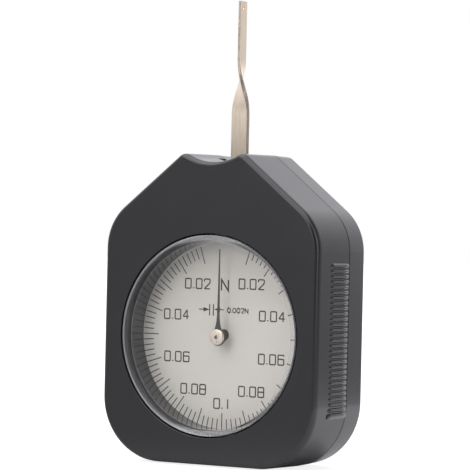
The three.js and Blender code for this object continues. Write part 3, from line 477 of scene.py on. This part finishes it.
# Painted shade: the bushes are painted dark, the front one lying in the hub's shadow
SINTERED_BRONZE_PAINTED_SHADE = metal("sintered bronze in painted shade", "#3c2a20", "#54392a", 0.5, 0.3)


# Meshes

def place(points):
    """Millimetres with depths, as metres in the frame."""
    scaled = np.asarray(points, dtype=float) * MM
    scaled[:, 1] += FACE_Y
    return scaled


def piece(name, points, faces, material, body, slot, replaced=(), sharp_degrees=32):
    """A mesh object that rides on a body, smooth but for edges that turn more than sharp_degrees."""
    mesh = bpy.data.meshes.new(name)
    mesh.from_pydata(place(points).tolist(), [], [list(f) for f in faces])
    mesh.materials.append(material)
    made = bpy.data.objects.new(name, mesh)
    bpy.context.scene.collection.objects.link(made)
    outward(mesh)
    soften(made, sharp_degrees)
    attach(made, body)
    if replaced:
        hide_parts(*replaced)
    return made


def outward(mesh):
    """Turns every face to the outside."""
    work = bmesh.new()
    work.from_mesh(mesh)
    bmesh.ops.recalc_face_normals(work, faces=work.faces)
    work.to_mesh(mesh)
    work.free()


def soften(made, sharp_degrees):
    """Smooth shading that leaves flat faces flat and sharp edges sharp."""
    made.data.shade_smooth()
    made.data.set_sharp_from_angle(angle=math.radians(sharp_degrees))
    weigh = made.modifiers.new("even normals", "WEIGHTED_NORMAL")
    weigh.keep_sharp = True


def carve(made, points, faces, sharp_degrees=32):
    """Cuts a closed mesh out of a piece."""
    mesh = bpy.data.meshes.new("cutter")
    mesh.from_pydata(place(points).tolist(), [], [list(f) for f in faces])
    outward(mesh)
    tool = bpy.data.objects.new("cutter", mesh)
    bpy.context.scene.collection.objects.link(tool)
    made.modifiers.clear()
    cut = made.modifiers.new("cut", "BOOLEAN")
    cut.operation = "DIFFERENCE"
    cut.solver = "EXACT"
    cut.use_self = True
    cut.object = tool
    shapes = bpy.context.evaluated_depsgraph_get()
    result = bpy.data.meshes.new_from_object(made.evaluated_get(shapes))
    made.modifiers.clear()
    made.data = result
    bpy.data.objects.remove(tool)
    soften(made, sharp_degrees)


def join_lists(*parts):
    """Several point and face lists as one."""
    points, faces = [], []
    for more_points, more_faces in parts:
        base = len(points)
        points += [tuple(p) for p in more_points]
        faces += [[i + base for i in f] for f in more_faces]
    return points, faces


def loft(loops, closed=False):
    """Faces over loops of as many points each. A closed loft joins the last loop to the first."""
    count = len(loops[0])
    points = [p for loop in loops for p in loop]
    faces = []
    for k in range(len(loops) if closed else len(loops) - 1):
        near = k * count
        far = ((k + 1) % len(loops)) * count
        for i in range(count):
            j = (i + 1) % count
            faces.append([near + i, near + j, far + j, far + i])
    if not closed:
        faces.append(list(range(count)))
        faces.append(list(range(len(points) - count, len(points))))
    return points, faces


def ring(radius, depth, x, z, segments):
    """Points round a circle that faces the front."""
    turn = [2 * math.pi * i / segments for i in range(segments)]
    return [(x + radius * math.cos(a), depth, z + radius * math.sin(a)) for a in turn]


def quarter_turn(steps):
    """Sine and cosine of each step over a quarter turn, with both ends."""
    angles = [math.pi / 2 * k / steps for k in range(steps + 1)]
    return [(math.sin(a), math.cos(a)) for a in angles]


def lathe(profile, x, z, segments):
    """A turned piece about a line along the depth, from a closed profile of radius and depth."""
    return loft([ring(radius, depth, x, z, segments) for radius, depth in profile], closed=True)


def spun(profile, z, segments):
    """A turned piece whose profile starts and ends on its axis."""
    points = [(0.0, profile[0][1], z), (0.0, profile[-1][1], z)]
    faces = []
    inside = profile[1:-1]
    for radius, depth in inside:
        points += ring(radius, depth, 0.0, z, segments)
    last = 2 + (len(inside) - 1) * segments
    for i in range(segments):
        j = (i + 1) % segments
        faces.append([0, 2 + j, 2 + i])
        for k in range(len(inside) - 1):
            near, far = 2 + k * segments, 2 + (k + 1) * segments
            faces.append([near + i, near + j, far + j, far + i])
        faces.append([1, last + i, last + j])
    return points, faces


def pin(radius, front, back, x, z, segments=48):
    """A cylinder along the depth."""
    return loft([ring(radius, depth, x, z, segments) for depth in (front, back)])


def block(x0, x1, y0, y1, z0, z1):
    """A box between two values of X, of depth and of Z."""
    return loft([[(x0, y, z0), (x1, y, z0), (x1, y, z1), (x0, y, z1)] for y in (y0, y1)])


# Case outline

def smooth_step(value, low, high):
    t = min(max((value - low) / (high - low), 0.0), 1.0)
    return t * t * (3 - 2 * t)


def case_corners():
    """Corners from the lower left: place, radius, steps of the arc, share of the edge it may take."""
    half = CASE_WIDTH / 2
    return [
        (-half, 0.0, FOOT_RADIUS, 24, EDGE_SHARE),
        (half, 0.0, FOOT_RADIUS, 24, EDGE_SHARE),
        (half, SHOULDER_HEIGHT, SHOULDER_RADIUS, 16, EDGE_SHARE),
        (CREST_OFFSET, CREST_HEIGHT, CREST_RADIUS, 10, EDGE_SHARE),
        (0.0, DIP_POINT_HEIGHT, -DIP_RADIUS, 20, DIP_EDGE_SHARE),
        (-CREST_OFFSET, CREST_HEIGHT, CREST_RADIUS, 10, EDGE_SHARE),
        (-half, SHOULDER_HEIGHT, SHOULDER_RADIUS, 16, EDGE_SHARE),
    ]


def case_outline(inset, draft=0.0, underside_draft=0.0, straight_steps=14):
    """Outline moved inwards by an inset and by the mould's draft, which is its own on the underside."""
    corners = case_corners()
    count = len(corners)
    edges = []
    for i, corner in enumerate(corners):
        start = Vector(corner[:2])
        along = (Vector(corners[(i + 1) % count][:2]) - start).normalized()
        offset = inset + (draft if i else underside_draft)
        edges.append((start + Vector((-along.y, along.x)) * offset, along, offset))
    moved = []
    for i, (_, _, radius, steps, room) in enumerate(corners):
        one, two = edges[i - 1], edges[i]
        span = one[1].cross(two[1])
        reach = (two[0] - one[0]).cross(two[1]) / span
        offset = (one[2] + two[2]) / 2
        if radius < 0:
            kept = -radius + offset
        else:
            kept = max(radius - offset, LEAST_RADIUS)
        moved.append((one[0] + one[1] * reach, kept, steps, room))
    arcs = [corner_arc(moved[i - 1][0], moved[(i + 1) % count][0], *moved[i]) for i in range(count)]
    outline = []
    for i, arc in enumerate(arcs):
        outline += arc
        start, end = arc[-1], arcs[(i + 1) % count][0]
        outline += [start.lerp(end, k / straight_steps) for k in range(1, straight_steps)]
    return outline


def corner_arc(before, after, corner, radius, steps, room):
    """The round of one corner, inwards or outwards as the corner turns."""
    arriving, leaving = corner - before, after - corner
    least = min(arriving.length, leaving.length)
    arriving.normalize()
    leaving.normalize()
    turn = math.atan2(arriving.cross(leaving), arriving.dot(leaving))
    half_tangent = math.tan(abs(turn) / 2)
    radius = min(radius, least * room / half_tangent)
    side = math.copysign(1, turn)
    start = corner - arriving * radius * half_tangent
    centre = start + Vector((-arriving.y, arriving.x)) * side * radius
    spoke = start - centre
    return [centre + Matrix.Rotation(turn * k / steps, 2) @ spoke for k in range(steps + 1)]


def outline_loop(inset, depth):
    """The case outline at a depth, moved inwards by an inset and by the draft there."""
    to_parting = PARTING_DEPTH - depth
    draft = to_parting * DRAFT_SLOPE if to_parting > 0 else -to_parting * COVER_DRAFT_SLOPE
    return [(p.x, depth, p.y) for p in case_outline(inset, draft, abs(to_parting) * UNDERSIDE_SLOPE)]


def window_loop(radius, depth):
    """A circle about the window's centre with as many points as the case outline.

    Each point lies near its outline point, but shifted a little towards even steps, so that
    close outline points leave no sliver faces.
    """
    bearings = [math.atan2(p.y - WINDOW_HEIGHT, p.x) for p in case_outline(FRONT_EDGE)]
    sense = math.copysign(1, math.sin(bearings[2] - bearings[0]))
    loop = []
    for i, bearing in enumerate(bearings):
        even = bearings[0] + sense * 2 * math.pi * i / len(bearings)
        angle = bearing + EVEN_SHARE * math.remainder(even - bearing, 2 * math.pi)
        loop.append((radius * math.cos(angle), depth, WINDOW_HEIGHT + radius * math.sin(angle)))
    return loop


def rounded_edge(edge_depth, radius, inward, reach=None):
    """Loops over a rounded outer edge, from the flat face to the wall. A reach makes it deeper than wide."""
    deep = inward * (reach or radius)
    return [outline_loop(radius * (1 - sine), edge_depth + deep * (1 - cosine))
            for sine, cosine in quarter_turn(8)]


def seam_lip(joint_depth, inward):
    """Loops over the small round where a wall meets the parting line."""
    deep = inward * SEAM_LIP
    return [outline_loop(SEAM_LIP * (1 - cosine), joint_depth - deep * (1 - sine))
            for sine, cosine in quarter_turn(3)]


def rib_flank(half_widths, shares):
    """A flank's points across and outwards, from the foot that is sunk in the wall up to the crest."""
    return list(zip(half_widths, [-RIB_SINK] + [share * RIB_HEIGHT for share in shares]))


def grip_rib(side, place_in_row):
    """One rib: a narrow crest between steep flanks, a short front end and a long low back end.

    The outer flanks of the first and last rib are wide and shallow.
    """
    steep = rib_flank(RIB_FLANK, RIB_FLANK_SHARES)
    shallow = rib_flank(RIB_OUTER_FLANK, RIB_OUTER_FLANK_SHARES)
    below = shallow if place_in_row == 0 else steep
    above = shallow if place_in_row == RIB_COUNT - 1 else steep
    section = [(-across, out) for across, out in below] + [(across, out) for across, out in reversed(above)]
    height = RIB_MIDDLE_HEIGHT + (place_in_row - (RIB_COUNT - 1) / 2) * RIB_PITCH
    steps = 6
    spine = []
    for k in range(steps + 1):
        spine.append((RIB_FRONT + RIB_FRONT_END * k / steps, smooth_step(k / steps, 0, 1)))
    for k in range(steps, -1, -1):
        spine.append((RIB_BACK - RIB_BACK_END * k / steps, math.sin(math.pi / 2 * k / steps)))
    loops = []
    for depth, rise in spine:
        wall = CASE_WIDTH / 2 - (PARTING_DEPTH - depth) * DRAFT_SLOPE
        loop = []
        for across, out in section:
            risen = out * rise if out > 0 else out - RIB_END_SINK * (1 - rise)
            loop.append((side * (wall + risen), depth, height + across))
        loops.append(loop)
    return loft(loops)


# Case

def finish_faces(made, choose):
    """Gives faces another finish where choose names one.

    Choose gets the distance from the window's axis, the depth, and how squarely the face looks
    to the front or back.
    """
    finishes = made.data.materials
    for face in made.data.polygons:
        out = math.hypot(face.center.x, face.center.z - WINDOW_HEIGHT * MM) / MM
        finish = choose(out, (face.center.y - FACE_Y) / MM, abs(face.normal.y))
        if finish:
            if finish.name not in finishes:
                finishes.append(finish)
            face.material_index = finishes.find(finish.name)


def bore_finish(out, _, squarely):
    return MATT_BORE_PAINTED_SHADE if out < BORE_RADIUS + 0.01 and squarely < 0.5 else None


def front_case():
    loops = rounded_edge(0.0, FRONT_EDGE, 1, FRONT_EDGE_DEPTH)
    loops += seam_lip(PARTING_DEPTH, 1)
    loops += [outline_loop(WALL, PARTING_DEPTH), outline_loop(WALL, FRONT_WALL)]
    loops += [window_loop(radius, depth) for radius, depth in (
        (COLLAR_RADIUS, FRONT_WALL), (COLLAR_RADIUS, COLLAR_BACK), (SEAT_RADIUS, COLLAR_BACK),
        (SEAT_RADIUS, SEAT_DEPTH), (BORE_RADIUS, SEAT_DEPTH),
    )]
    for sine, cosine in quarter_turn(4):
        loops.append(window_loop(BORE_RADIUS + BORE_EDGE * (1 - cosine), BORE_EDGE * (1 - sine)))
    shell = loft(loops, closed=True)
    made = piece("front_shell", *shell, ABS, "case", "case_plastic", ["front_case"])
    top = CREST_HEIGHT + OVERRUN
    carve(made, *block(-SLOT_HALF, SLOT_HALF, SLOT_FRONT, PARTING_DEPTH + OVERRUN, SLOT_FLOOR, top))
    finish_faces(made, bore_finish)


def grip_ribs():
    ribs = [grip_rib(side, i) for side in (-1, 1) for i in range(RIB_COUNT)]
    piece("grip_ribs", *join_lists(*ribs), ABS, "case", "case_plastic", sharp_degrees=50)


def rear_cover():
    """The back shell with its screw bosses, and its locating lip, which is open where the lever swings."""
    loops = rounded_edge(CASE_DEPTH, BACK_EDGE, -1)
    loops += seam_lip(COVER_FRONT, -1)
    loops += [outline_loop(inset, depth) for inset, depth in (
        (SEAM_DEPTH, COVER_FRONT), (SEAM_DEPTH, COVER_REST), (WALL + LIP_PLAY, COVER_REST),
        (WALL + LIP_PLAY, LIP_FRONT), (WALL + LIP_THICKNESS, LIP_FRONT),
        (WALL + LIP_THICKNESS, CASE_DEPTH - BACK_WALL),
    )]
    screws = [(side * x, z) for x, z in (FOOT_SCREW, SHOULDER_SCREW) for side in (-1, 1)]
    bosses = [pin(REAR_BOSS_RADIUS, COVER_FRONT, CASE_DEPTH - BACK_WALL / 2, x, z) for x, z in screws]
    shell = join_lists(loft(loops), *bosses)
    made = piece("rear_shell", *shell, ABS, "case", "case_plastic", ["rear_cover"])
    profile = [
        (SCREW_HOLE, COVER_FRONT - OVERRUN), (SCREW_HOLE, SCREW_SEAT),
        (SCREW_HEAD_HOLE, SCREW_SEAT), (SCREW_HEAD_HOLE, CASE_DEPTH + OVERRUN),
    ]
    holes = [loft([ring(radius, depth, x, z, 48) for radius, depth in profile]) for x, z in screws]
    carve(made, *join_lists(*holes))
    half = SLOT_HALF + LIP_THICKNESS
    carve(made, *block(-half, half, LIP_FRONT - OVERRUN, PARTING_DEPTH, SLOT_FLOOR, CREST_HEIGHT + OVERRUN))


# Crystal and dial

def crystal_finish(out, depth, squarely):
    """Wall in painted shade, turned outside, satin rim and inner corner, and the plate over the wall, the
    last three with painted light.
    """
    inner = CRYSTAL_RADIUS - CRYSTAL_WALL
    behind_corner = CRYSTAL_PLATE - CRYSTAL_PROUD + CRYSTAL_CORNER
    in_front = depth < CRYSTAL_PLATE / 2
    if squarely < 0.5 and depth > behind_corner and out < inner + 0.1:
        return ACRYLIC_WALL_PAINTED_SHADE
    if squarely < 0.1 and out > CRYSTAL_RADIUS - 0.1:
        return TURNED_EDGE_WITH_PAINTED_LIGHT
    if in_front and out > CRYSTAL_RADIUS - CRYSTAL_RIM:
        return SATIN_RIM_WITH_PAINTED_LIGHT
    if in_front and out > inner:
        return PAINTED_LIGHT_OVER_WALL
    if abs(out - inner) < CORNER_BAND and depth < behind_corner:
        return SATIN_RIM_WITH_PAINTED_LIGHT
    return None


def crystal():
    """A cup: flat front, rounded rim, wall with a flange at its back, rounded inner corner."""
    front = -CRYSTAL_PROUD
    inner = CRYSTAL_RADIUS - CRYSTAL_WALL
    plate_back = front + CRYSTAL_PLATE
    flange_front = CRYSTAL_BACK - FLANGE_THICKNESS
    flange_radius = CRYSTAL_RADIUS + FLANGE_WIDTH
    profile = [(0.0, front), (inner, front), (CRYSTAL_RADIUS - CRYSTAL_RIM, front)]
    for sine, cosine in quarter_turn(10):
        profile.append((CRYSTAL_RADIUS - CRYSTAL_EDGE * (1 - sine), front + CRYSTAL_EDGE * (1 - cosine)))
    profile += [(CRYSTAL_RADIUS, flange_front), (flange_radius, flange_front)]
    profile += [(flange_radius, CRYSTAL_BACK), (inner, CRYSTAL_BACK)]
    for sine, cosine in quarter_turn(10):
        profile.append((inner - CRYSTAL_CORNER * (1 - cosine), plate_back + CRYSTAL_CORNER * (1 - sine)))
    profile.append((0.0, plate_back))
    cup = spun(profile, WINDOW_HEIGHT, 192)
    made = piece("crystal_cup", *cup, ACRYLIC, "case", "clear_acrylic", ["window_crystal"])
    finish_faces(made, crystal_finish)


def dial():
    radius = CRYSTAL_RADIUS + FLANGE_WIDTH
    back = DIAL_DEPTH + DIAL_THICKNESS
    profile = [(radius, DIAL_DEPTH), (radius, back), (DIAL_HOLE, back), (DIAL_HOLE, DIAL_DEPTH)]
    disc = lathe(profile, 0.0, WINDOW_HEIGHT, 160)
    piece("dial_disc", *disc, SILVER, "case", "dial_silver", ["dial_plate"])


# Dial print: flat strokes of ink on the dial

def stroke(path, width, closed=False):
    """A ribbon of ink along a path in X and Z, mitred at its corners."""
    line = [Vector(p) for p in path]
    count = len(line)
    top, bottom = DIAL_DEPTH - INK_THICKNESS, DIAL_DEPTH
    loops = []
    for i, p in enumerate(line):
        before = line[i - 1] if i or closed else None
        after = line[(i + 1) % count] if i + 1 < count or closed else None
        arriving = (p - before).normalized() if before else (after - p).normalized()
        leaving = (after - p).normalized() if after else arriving
        across = Vector((-arriving.y - leaving.y, arriving.x + leaving.x)).normalized()
        reach = width / 2 / max(across.dot(Vector((-arriving.y, arriving.x))), MITRE_LIMIT)
        left, right = p + across * reach, p - across * reach
        loops.append([
            (left.x, top, left.y), (right.x, top, right.y),
            (right.x, bottom, right.y), (left.x, bottom, left.y),
        ])
    return loft(loops, closed=closed)


def softened(path, radius, closed=False, steps=3):
    """A path with its corners rounded."""
    line = [Vector(p) for p in path]
    count = len(line)
    out = []
    for i, p in enumerate(line):
        if not closed and i in (0, count - 1):
            out.append(p)
            continue
        before, after = line[i - 1], line[(i + 1) % count]
        reach = min(radius, (p - before).length / 2, (after - p).length / 2)
        start = p + (before - p).normalized() * reach
        end = p + (after - p).normalized() * reach
        for k in range(steps + 1):
            t = k / steps
            out.append(start * (1 - t) ** 2 + p * 2 * t * (1 - t) + end * t ** 2)
    return out


# Strokes of each sign in shares of its width and height: points, and whether the stroke closes
SIGN_SHARES = {
    "0": [([(0, 0), (1, 0), (1, 1), (0, 1)], True)],
    "1": [([(0.5, 0), (0.5, 1)], False)],
    "2": [([(0, 0.74), (0, 1), (1, 1), (1, 0.6), (0, 0), (1, 0)], False)],
    "4": [([(0.72, 0), (0.72, 1), (0, 0.3), (1, 0.3)], False)],
    "6": [([(1, 0.86), (1, 1), (0, 1), (0, 0), (1, 0), (1, 0.58), (0, 0.58)], False)],
    "8": [([(0, 0), (1, 0), (1, 1), (0, 1)], True), ([(0, 0.53), (1, 0.53)], False)],
    "N": [([(0, 0), (0, 1), (1, 0), (1, 1)], False)],
    ".": [([(0, 0), (0, 0.11)], False)],
}


def lettering(text, x, z, style):
    """Signs in a row about a centre, all of one width, with a narrow place for each dot."""
    width, height, pitch, dot_room = style["width"], style["height"], style["pitch"], style["dot_room"]
    places, at = [], 0.0
    for sign in text:
        places.append(at)
        at += dot_room if sign == "." else width + pitch
    first = x - (at - pitch) / 2
    parts = []
    for sign, start in zip(text, places):
        left = first + start - ((pitch - dot_room) / 2 if sign == "." else 0.0)
        weight = style["weight"] * (DOT_WEIGHT if sign == "." else 1)
        for path, closed in SIGN_SHARES[sign]:
            points = [(left + px * width, z - height / 2 + pz * height) for px, pz in path]
            if sign != "N":
                points = softened(points, style["corner"], closed)
            parts.append(stroke(points, weight, closed))
    return parts


def dial_ticks():
    parts = []
    centre = Vector((0.0, AXIS_HEIGHT))
    for i in range(BARE_TICKS, round(360 / TICK_DEGREES) - BARE_TICKS + 1):
        angle = math.radians(i * TICK_DEGREES)
        out = Vector((math.sin(angle), math.cos(angle)))
        start = LONG_TICK_START if i % TICKS_PER_LONG == 0 else SHORT_TICK_START
        parts.append(stroke([centre + out * start, centre + out * TICK_END], TICK_WIDTH))
    piece("dial_ticks", *join_lists(*parts), INK, "case", "dial_silver")


def dial_numerals():
    parts = []
    for text, x, z, style in PRINTED:
        parts += lettering(text, x, WINDOW_HEIGHT + z, style)
    piece("dial_numerals", *join_lists(*parts), INK, "case", "dial_silver")


def arrow(tail, tip, z):
    """A shaft and a head that lie along X."""
    base = tip - math.copysign(ARROW_HEAD_LENGTH, tip - tail)
    shaft = stroke([(tail, z), (base, z)], ARROW_SHAFT)
    outline = [(tip, z), (base, z + ARROW_HEAD_HALF), (base, z - ARROW_HEAD_HALF)]
    head = loft([[(x, depth, h) for x, h in outline] for depth in (DIAL_DEPTH - INK_THICKNESS, DIAL_DEPTH)])
    return [shaft, head]


def division_mark():
    """Two bars one division apart, between two arrows."""
    parts = []
    for tail, tip, z in DIVISION_ARROWS:
        parts += arrow(tail, tip, WINDOW_HEIGHT + z)
    for x in DIVISION_BARS:
        parts.append(stroke([(x, WINDOW_HEIGHT + z) for z in DIVISION_BAR_SPAN], BAR_WIDTH))
    piece("dial_division_mark", *join_lists(*parts), INK, "case", "dial_silver")


# Pointer

def pointer_hub():
    plate_back, sleeve_back = HUB_FRONT + HUB_PLATE, HUB_FRONT + HUB_LENGTH
    profile = [(HUB_BORE, HUB_FRONT)]
    for sine, cosine in quarter_turn(5):
        profile.append((HUB_RADIUS - HUB_EDGE * (1 - sine), HUB_FRONT + HUB_EDGE * (1 - cosine)))
    profile += [(HUB_RADIUS, plate_back), (HUB_SLEEVE, plate_back)]
    profile += [(HUB_SLEEVE, sleeve_back), (HUB_BORE, sleeve_back)]
    turned = lathe(profile, 0.0, AXIS_HEIGHT, 96)
    piece("hub", *turned, HUB_BRASS, "pointer", "hub_brass", ["pointer_hub"])


def pointer_needle():
    """The needle tapers to its tip and flares into a round eye behind the hub."""
    front = HUB_FRONT + HUB_PLATE + HUB_PLAY
    back = front + NEEDLE_THICKNESS
    opening = math.asin(NEEDLE_ROOT_HALF / NEEDLE_EYE)
    eye_steps = 60
    outline = []
    for k in range(eye_steps + 1):
        angle = math.pi / 2 - opening - (2 * math.pi - 2 * opening) * k / eye_steps
        outline.append((NEEDLE_EYE * math.cos(angle), NEEDLE_EYE * math.sin(angle)))
    root = math.sqrt(NEEDLE_EYE ** 2 - NEEDLE_ROOT_HALF ** 2)
    blade_steps = 24
    blade = []
    for k in range(1, blade_steps + 1):
        way = (k / blade_steps) ** NEEDLE_STEP_POWER
        rest = 1 - way
        half = NEEDLE_TIP_HALF + NEEDLE_TAPER * rest + NEEDLE_FLARE * rest ** NEEDLE_FLARE_POWER
        blade.append((half, root + (NEEDLE_LENGTH - root) * way))
    outline += [(-x, z) for x, z in blade] + [(x, z) for x, z in reversed(blade)]
    loops = [[(x, depth, AXIS_HEIGHT + z) for x, z in outline] for depth in (front, back)]
    made = piece("needle", *loft(loops), LACQUER, "pointer", "needle_black", ["pointer_needle"])
    carve(made, *pin(HUB_SLEEVE + HUB_PLAY, front - OVERRUN, back + OVERRUN, 0.0, AXIS_HEIGHT))


# Lever

def twist_way(height):
    return smooth_step(height, TWIST_START, TWIST_END)


def lever_section(height):
    """A slim rectangle with rounded edges, turned and thinned by how far the twist has gone."""
    way = twist_way(height)
    turn = math.pi / 2 * way
    half_width = (LEVER_ROOT_WIDTH + (LEVER_TIP_WIDTH - LEVER_ROOT_WIDTH) * way) / 2
    half_thick = (LEVER_ROOT_THICKNESS + (LEVER_TIP_THICKNESS - LEVER_ROOT_THICKNESS) * way) / 2
    steps = 4
    loop = []
    for quarter, (sx, sy) in enumerate(((1, 1), (-1, 1), (-1, -1), (1, -1))):
        for k in range(steps + 1):
            angle = math.pi / 2 * (quarter + k / steps)
            across = sx * (half_width - LEVER_EDGE) + LEVER_EDGE * math.cos(angle)
            through = sy * (half_thick - LEVER_EDGE) + LEVER_EDGE * math.sin(angle)
            x = across * math.cos(turn) + through * math.sin(turn)
            y = -across * math.sin(turn) + through * math.cos(turn)
            loop.append((x, LEVER_DEPTH + y, height))
    return loop


def feeler_lever():
    """The strip with its quarter twist, on an eye about the shaft. Its narrow faces are sheared."""
    twist_steps = 72
    heights = [PIVOT_HEIGHT, TWIST_START - TWIST_RUN_OUT]
    heights += [TWIST_START + (TWIST_END - TWIST_START) * k / twist_steps for k in range(twist_steps + 1)]
    heights += [TWIST_END + TWIST_RUN_OUT, LEVER_TIP]
    strip = loft([lever_section(h) for h in heights])
    front, back = LEVER_DEPTH - LEVER_ROOT_THICKNESS / 2, LEVER_DEPTH + LEVER_ROOT_THICKNESS / 2
    eye = pin(LEVER_EYE, front, back, 0.0, PIVOT_HEIGHT, 96)
    blank = join_lists(strip, eye)
    made = piece("lever_strip", *blank, LEVER_STEEL, "lever", "lever_steel", ["feeler_lever"], 40)
    made.data.materials.append(SHEARED_STEEL)
    for face in made.data.polygons:
        turn = math.pi / 2 * twist_way(face.center.z / MM)
        if abs(face.normal.x * math.cos(turn) - face.normal.y * math.sin(turn)) > SHEARED_FACING:
            face.material_index = 1
    bore = pin(LEVER_EYE_BORE, front - OVERRUN, back + OVERRUN, 0.0, PIVOT_HEIGHT, 64)
    tip_hole = []
    for x in (-OVERRUN, OVERRUN):
        around = ring(LEVER_HOLE, x, LEVER_DEPTH, LEVER_HOLE_HEIGHT, 32)
        tip_hole.append([(side, depth, z) for depth, side, z in around])
    carve(made, *join_lists(bore, loft(tip_hole)), 40)


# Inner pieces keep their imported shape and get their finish

SLOT_FINISH = {
    "case_plastic": ABS,
    "clear_acrylic": ACRYLIC,
    "dial_silver": SILVER,
    "lever_steel": LEVER_STEEL,
    "screw_steel": SCREW_STEEL,
    "plate_brass": PLATE_BRASS,
    "hub_brass": HUB_BRASS,
    "needle_black": LACQUER,
    "spring_bronze": SPRING_BRONZE,
}


def finish_packed_nodes():
    """The bushes share a slot with the springs, but get a dark sintered bronze: painted shade, as the front
    bush lies in the hub's shadow.
    """
    slots = {row["node"]: row["material_slot"] for row in frame["record"]["subparts"]}
    for name, cad in frame["nodes"].items():
        for material_slot in cad.material_slots:
            material_slot.material = SINTERED_BRONZE_PAINTED_SHADE if "bush" in name else SLOT_FINISH[slots[name]]


# Stage, in metres

def studio_floor():
    """A pale floor, painted as a pool of light that darkens away from the gauge. The camera sees it white,
    but for the gauge's shadow.
    """
    m = new_material("pale floor")
    offset = node(m, "ShaderNodeVectorMath", [(0, object_place(m))], operation="SUBTRACT")
    offset.inputs[1].default_value = (0.08, 0.08, 0.0)
    reach = node(m, "ShaderNodeVectorMath", [(0, offset.outputs[0])], operation="LENGTH").outputs["Value"]
    # Painted pool of light: the floor's colour darkens away from the gauge, for all rays but the camera's
    away = remap(m, reach, 0.06, 0.24, 0.0, 1.0, "SMOOTHSTEP")
    painted_pool = node(m, "ShaderNodeBsdfDiffuse", [("Color", two_tones(m, away, "#ececec", "#9e9e9e"))])
    shaded = node(m, "ShaderNodeBsdfDiffuse", color=linear("#9a9a9a"))
    glow = node(m, "ShaderNodeEmission", color=(1, 1, 1, 1), strength=0.85)
    white = node(m, "ShaderNodeAddShader", [(0, shaded.outputs[0]), (1, glow.outputs[0])])
    seen = node(m, "ShaderNodeLightPath").outputs["Is Camera Ray"]
    surface(m, mixed(m, seen, painted_pool, white))
    half, low = 4.0, -0.00005
    corners = [(-half, -half, low), (half, -half, low), (half, half, low), (-half, half, low)]
    mesh = bpy.data.meshes.new("floor")
    mesh.from_pydata(corners, [], [[0, 1, 2, 3]])
    mesh.materials.append(m)
    floor = bpy.data.objects.new("floor", mesh)
    bpy.context.scene.collection.objects.link(floor)


def studio_world():
    """White for the camera. For all else a room that is pale on the left and dim on the right.

    It has a backdrop behind the gauge, a bright ceiling and a tall window on the right.
    """
    world = bpy.data.worlds.new("studio")
    bpy.context.scene.world = world
    world.use_nodes = True
    world.node_tree.nodes.clear()
    way = node(world, "ShaderNodeTexCoord").outputs["Generated"]
    right, back, up = node(world, "ShaderNodeSeparateXYZ", [("Vector", way)]).outputs

    left_wall = remap(world, right, -0.9, -0.6, 0.5, 0.0, "SMOOTHSTEP")
    walls = maths(world, "ADD", left_wall, remap(world, right, -0.35, 0.35, 0.7, 0.12))

    right_side = remap(world, right, 0.35, 0.53, 1.0, 0.5)
    left_side = remap(world, right, -0.7, 0.0, 0.1, 1.0)
    behind = remap(world, back, 0.35, 0.8, 0.0, 1.0, "SMOOTHSTEP")
    backdrop = maths(world, "MULTIPLY", maths(world, "MULTIPLY", right_side, left_side), behind)

    forward = maths(world, "ADD", up, remap(world, back, -1.0, 1.0, 0.28, -0.2))
    ceiling = remap(world, forward, 0.7, 0.92, 0.0, 2.3, "SMOOTHSTEP")

    strip = remap(world, maths(world, "ABSOLUTE", back), 0.08, 0.26, 2.2, 0.0, "SMOOTHSTEP")
    window = maths(world, "MULTIPLY", strip, remap(world, right, 0.6, 0.85, 0.0, 1.0, "SMOOTHSTEP"))

    level = maths(world, "ADD", maths(world, "ADD", walls, backdrop), maths(world, "ADD", ceiling, window))
    room = node(world, "ShaderNodeBackground", [("Strength", level)], color=linear("#fafaff"))
    white = node(world, "ShaderNodeBackground", color=(1, 1, 1, 1), strength=1.0)
    seen = node(world, "ShaderNodeLightPath").outputs["Is Camera Ray"]
    node(world, "ShaderNodeOutputWorld", [("Surface", mixed(world, seen, room, white).outputs[0])])


def lamp(name, place_m, target_m, size_m, watts):
    """A round soft light that faces its target."""
    data = bpy.data.lights.new(name, "AREA")
    data.shape = "DISK"
    data.size = size_m
    data.energy = watts
    made = bpy.data.objects.new(name, data)
    bpy.context.scene.collection.objects.link(made)
    made.location = place_m
    made.rotation_euler = (Vector(target_m) - Vector(place_m)).to_track_quat("-Z", "Y").to_euler()


def studio_camera():
    """The photograph's view: from the right of the dial, level with the case, with a slight roll."""
    data = bpy.data.cameras.new("camera")
    data.sensor_width = 36.0
    data.lens = CAMERA_LENS
    data.clip_start = 0.05
    data.clip_end = 20.0
    made = bpy.data.objects.new("camera", data)
    bpy.context.scene.collection.objects.link(made)
    right = Vector(CAMERA_RIGHT).normalized()
    back = right.cross(Vector(CAMERA_UP)).normalized()
    up = back.cross(right)
    turned = Matrix((right, up, back)).transposed().to_4x4()
    made.matrix_world = Matrix.Translation(Vector(CAMERA_PLACE) * MM) @ turned
    bpy.context.scene.camera = made


front_case()
grip_ribs()
rear_cover()
crystal()
dial()
dial_ticks()
dial_numerals()
division_mark()
pointer_hub()
pointer_needle()
feeler_lever()
finish_packed_nodes()

studio_floor()
studio_world()
lamp("front softbox", (-0.3, -1.3, 0.55), (0, 0, 0.05), 0.9, 4.4)
studio_camera()
bpy.context.scene.view_settings.view_transform = "Standard"
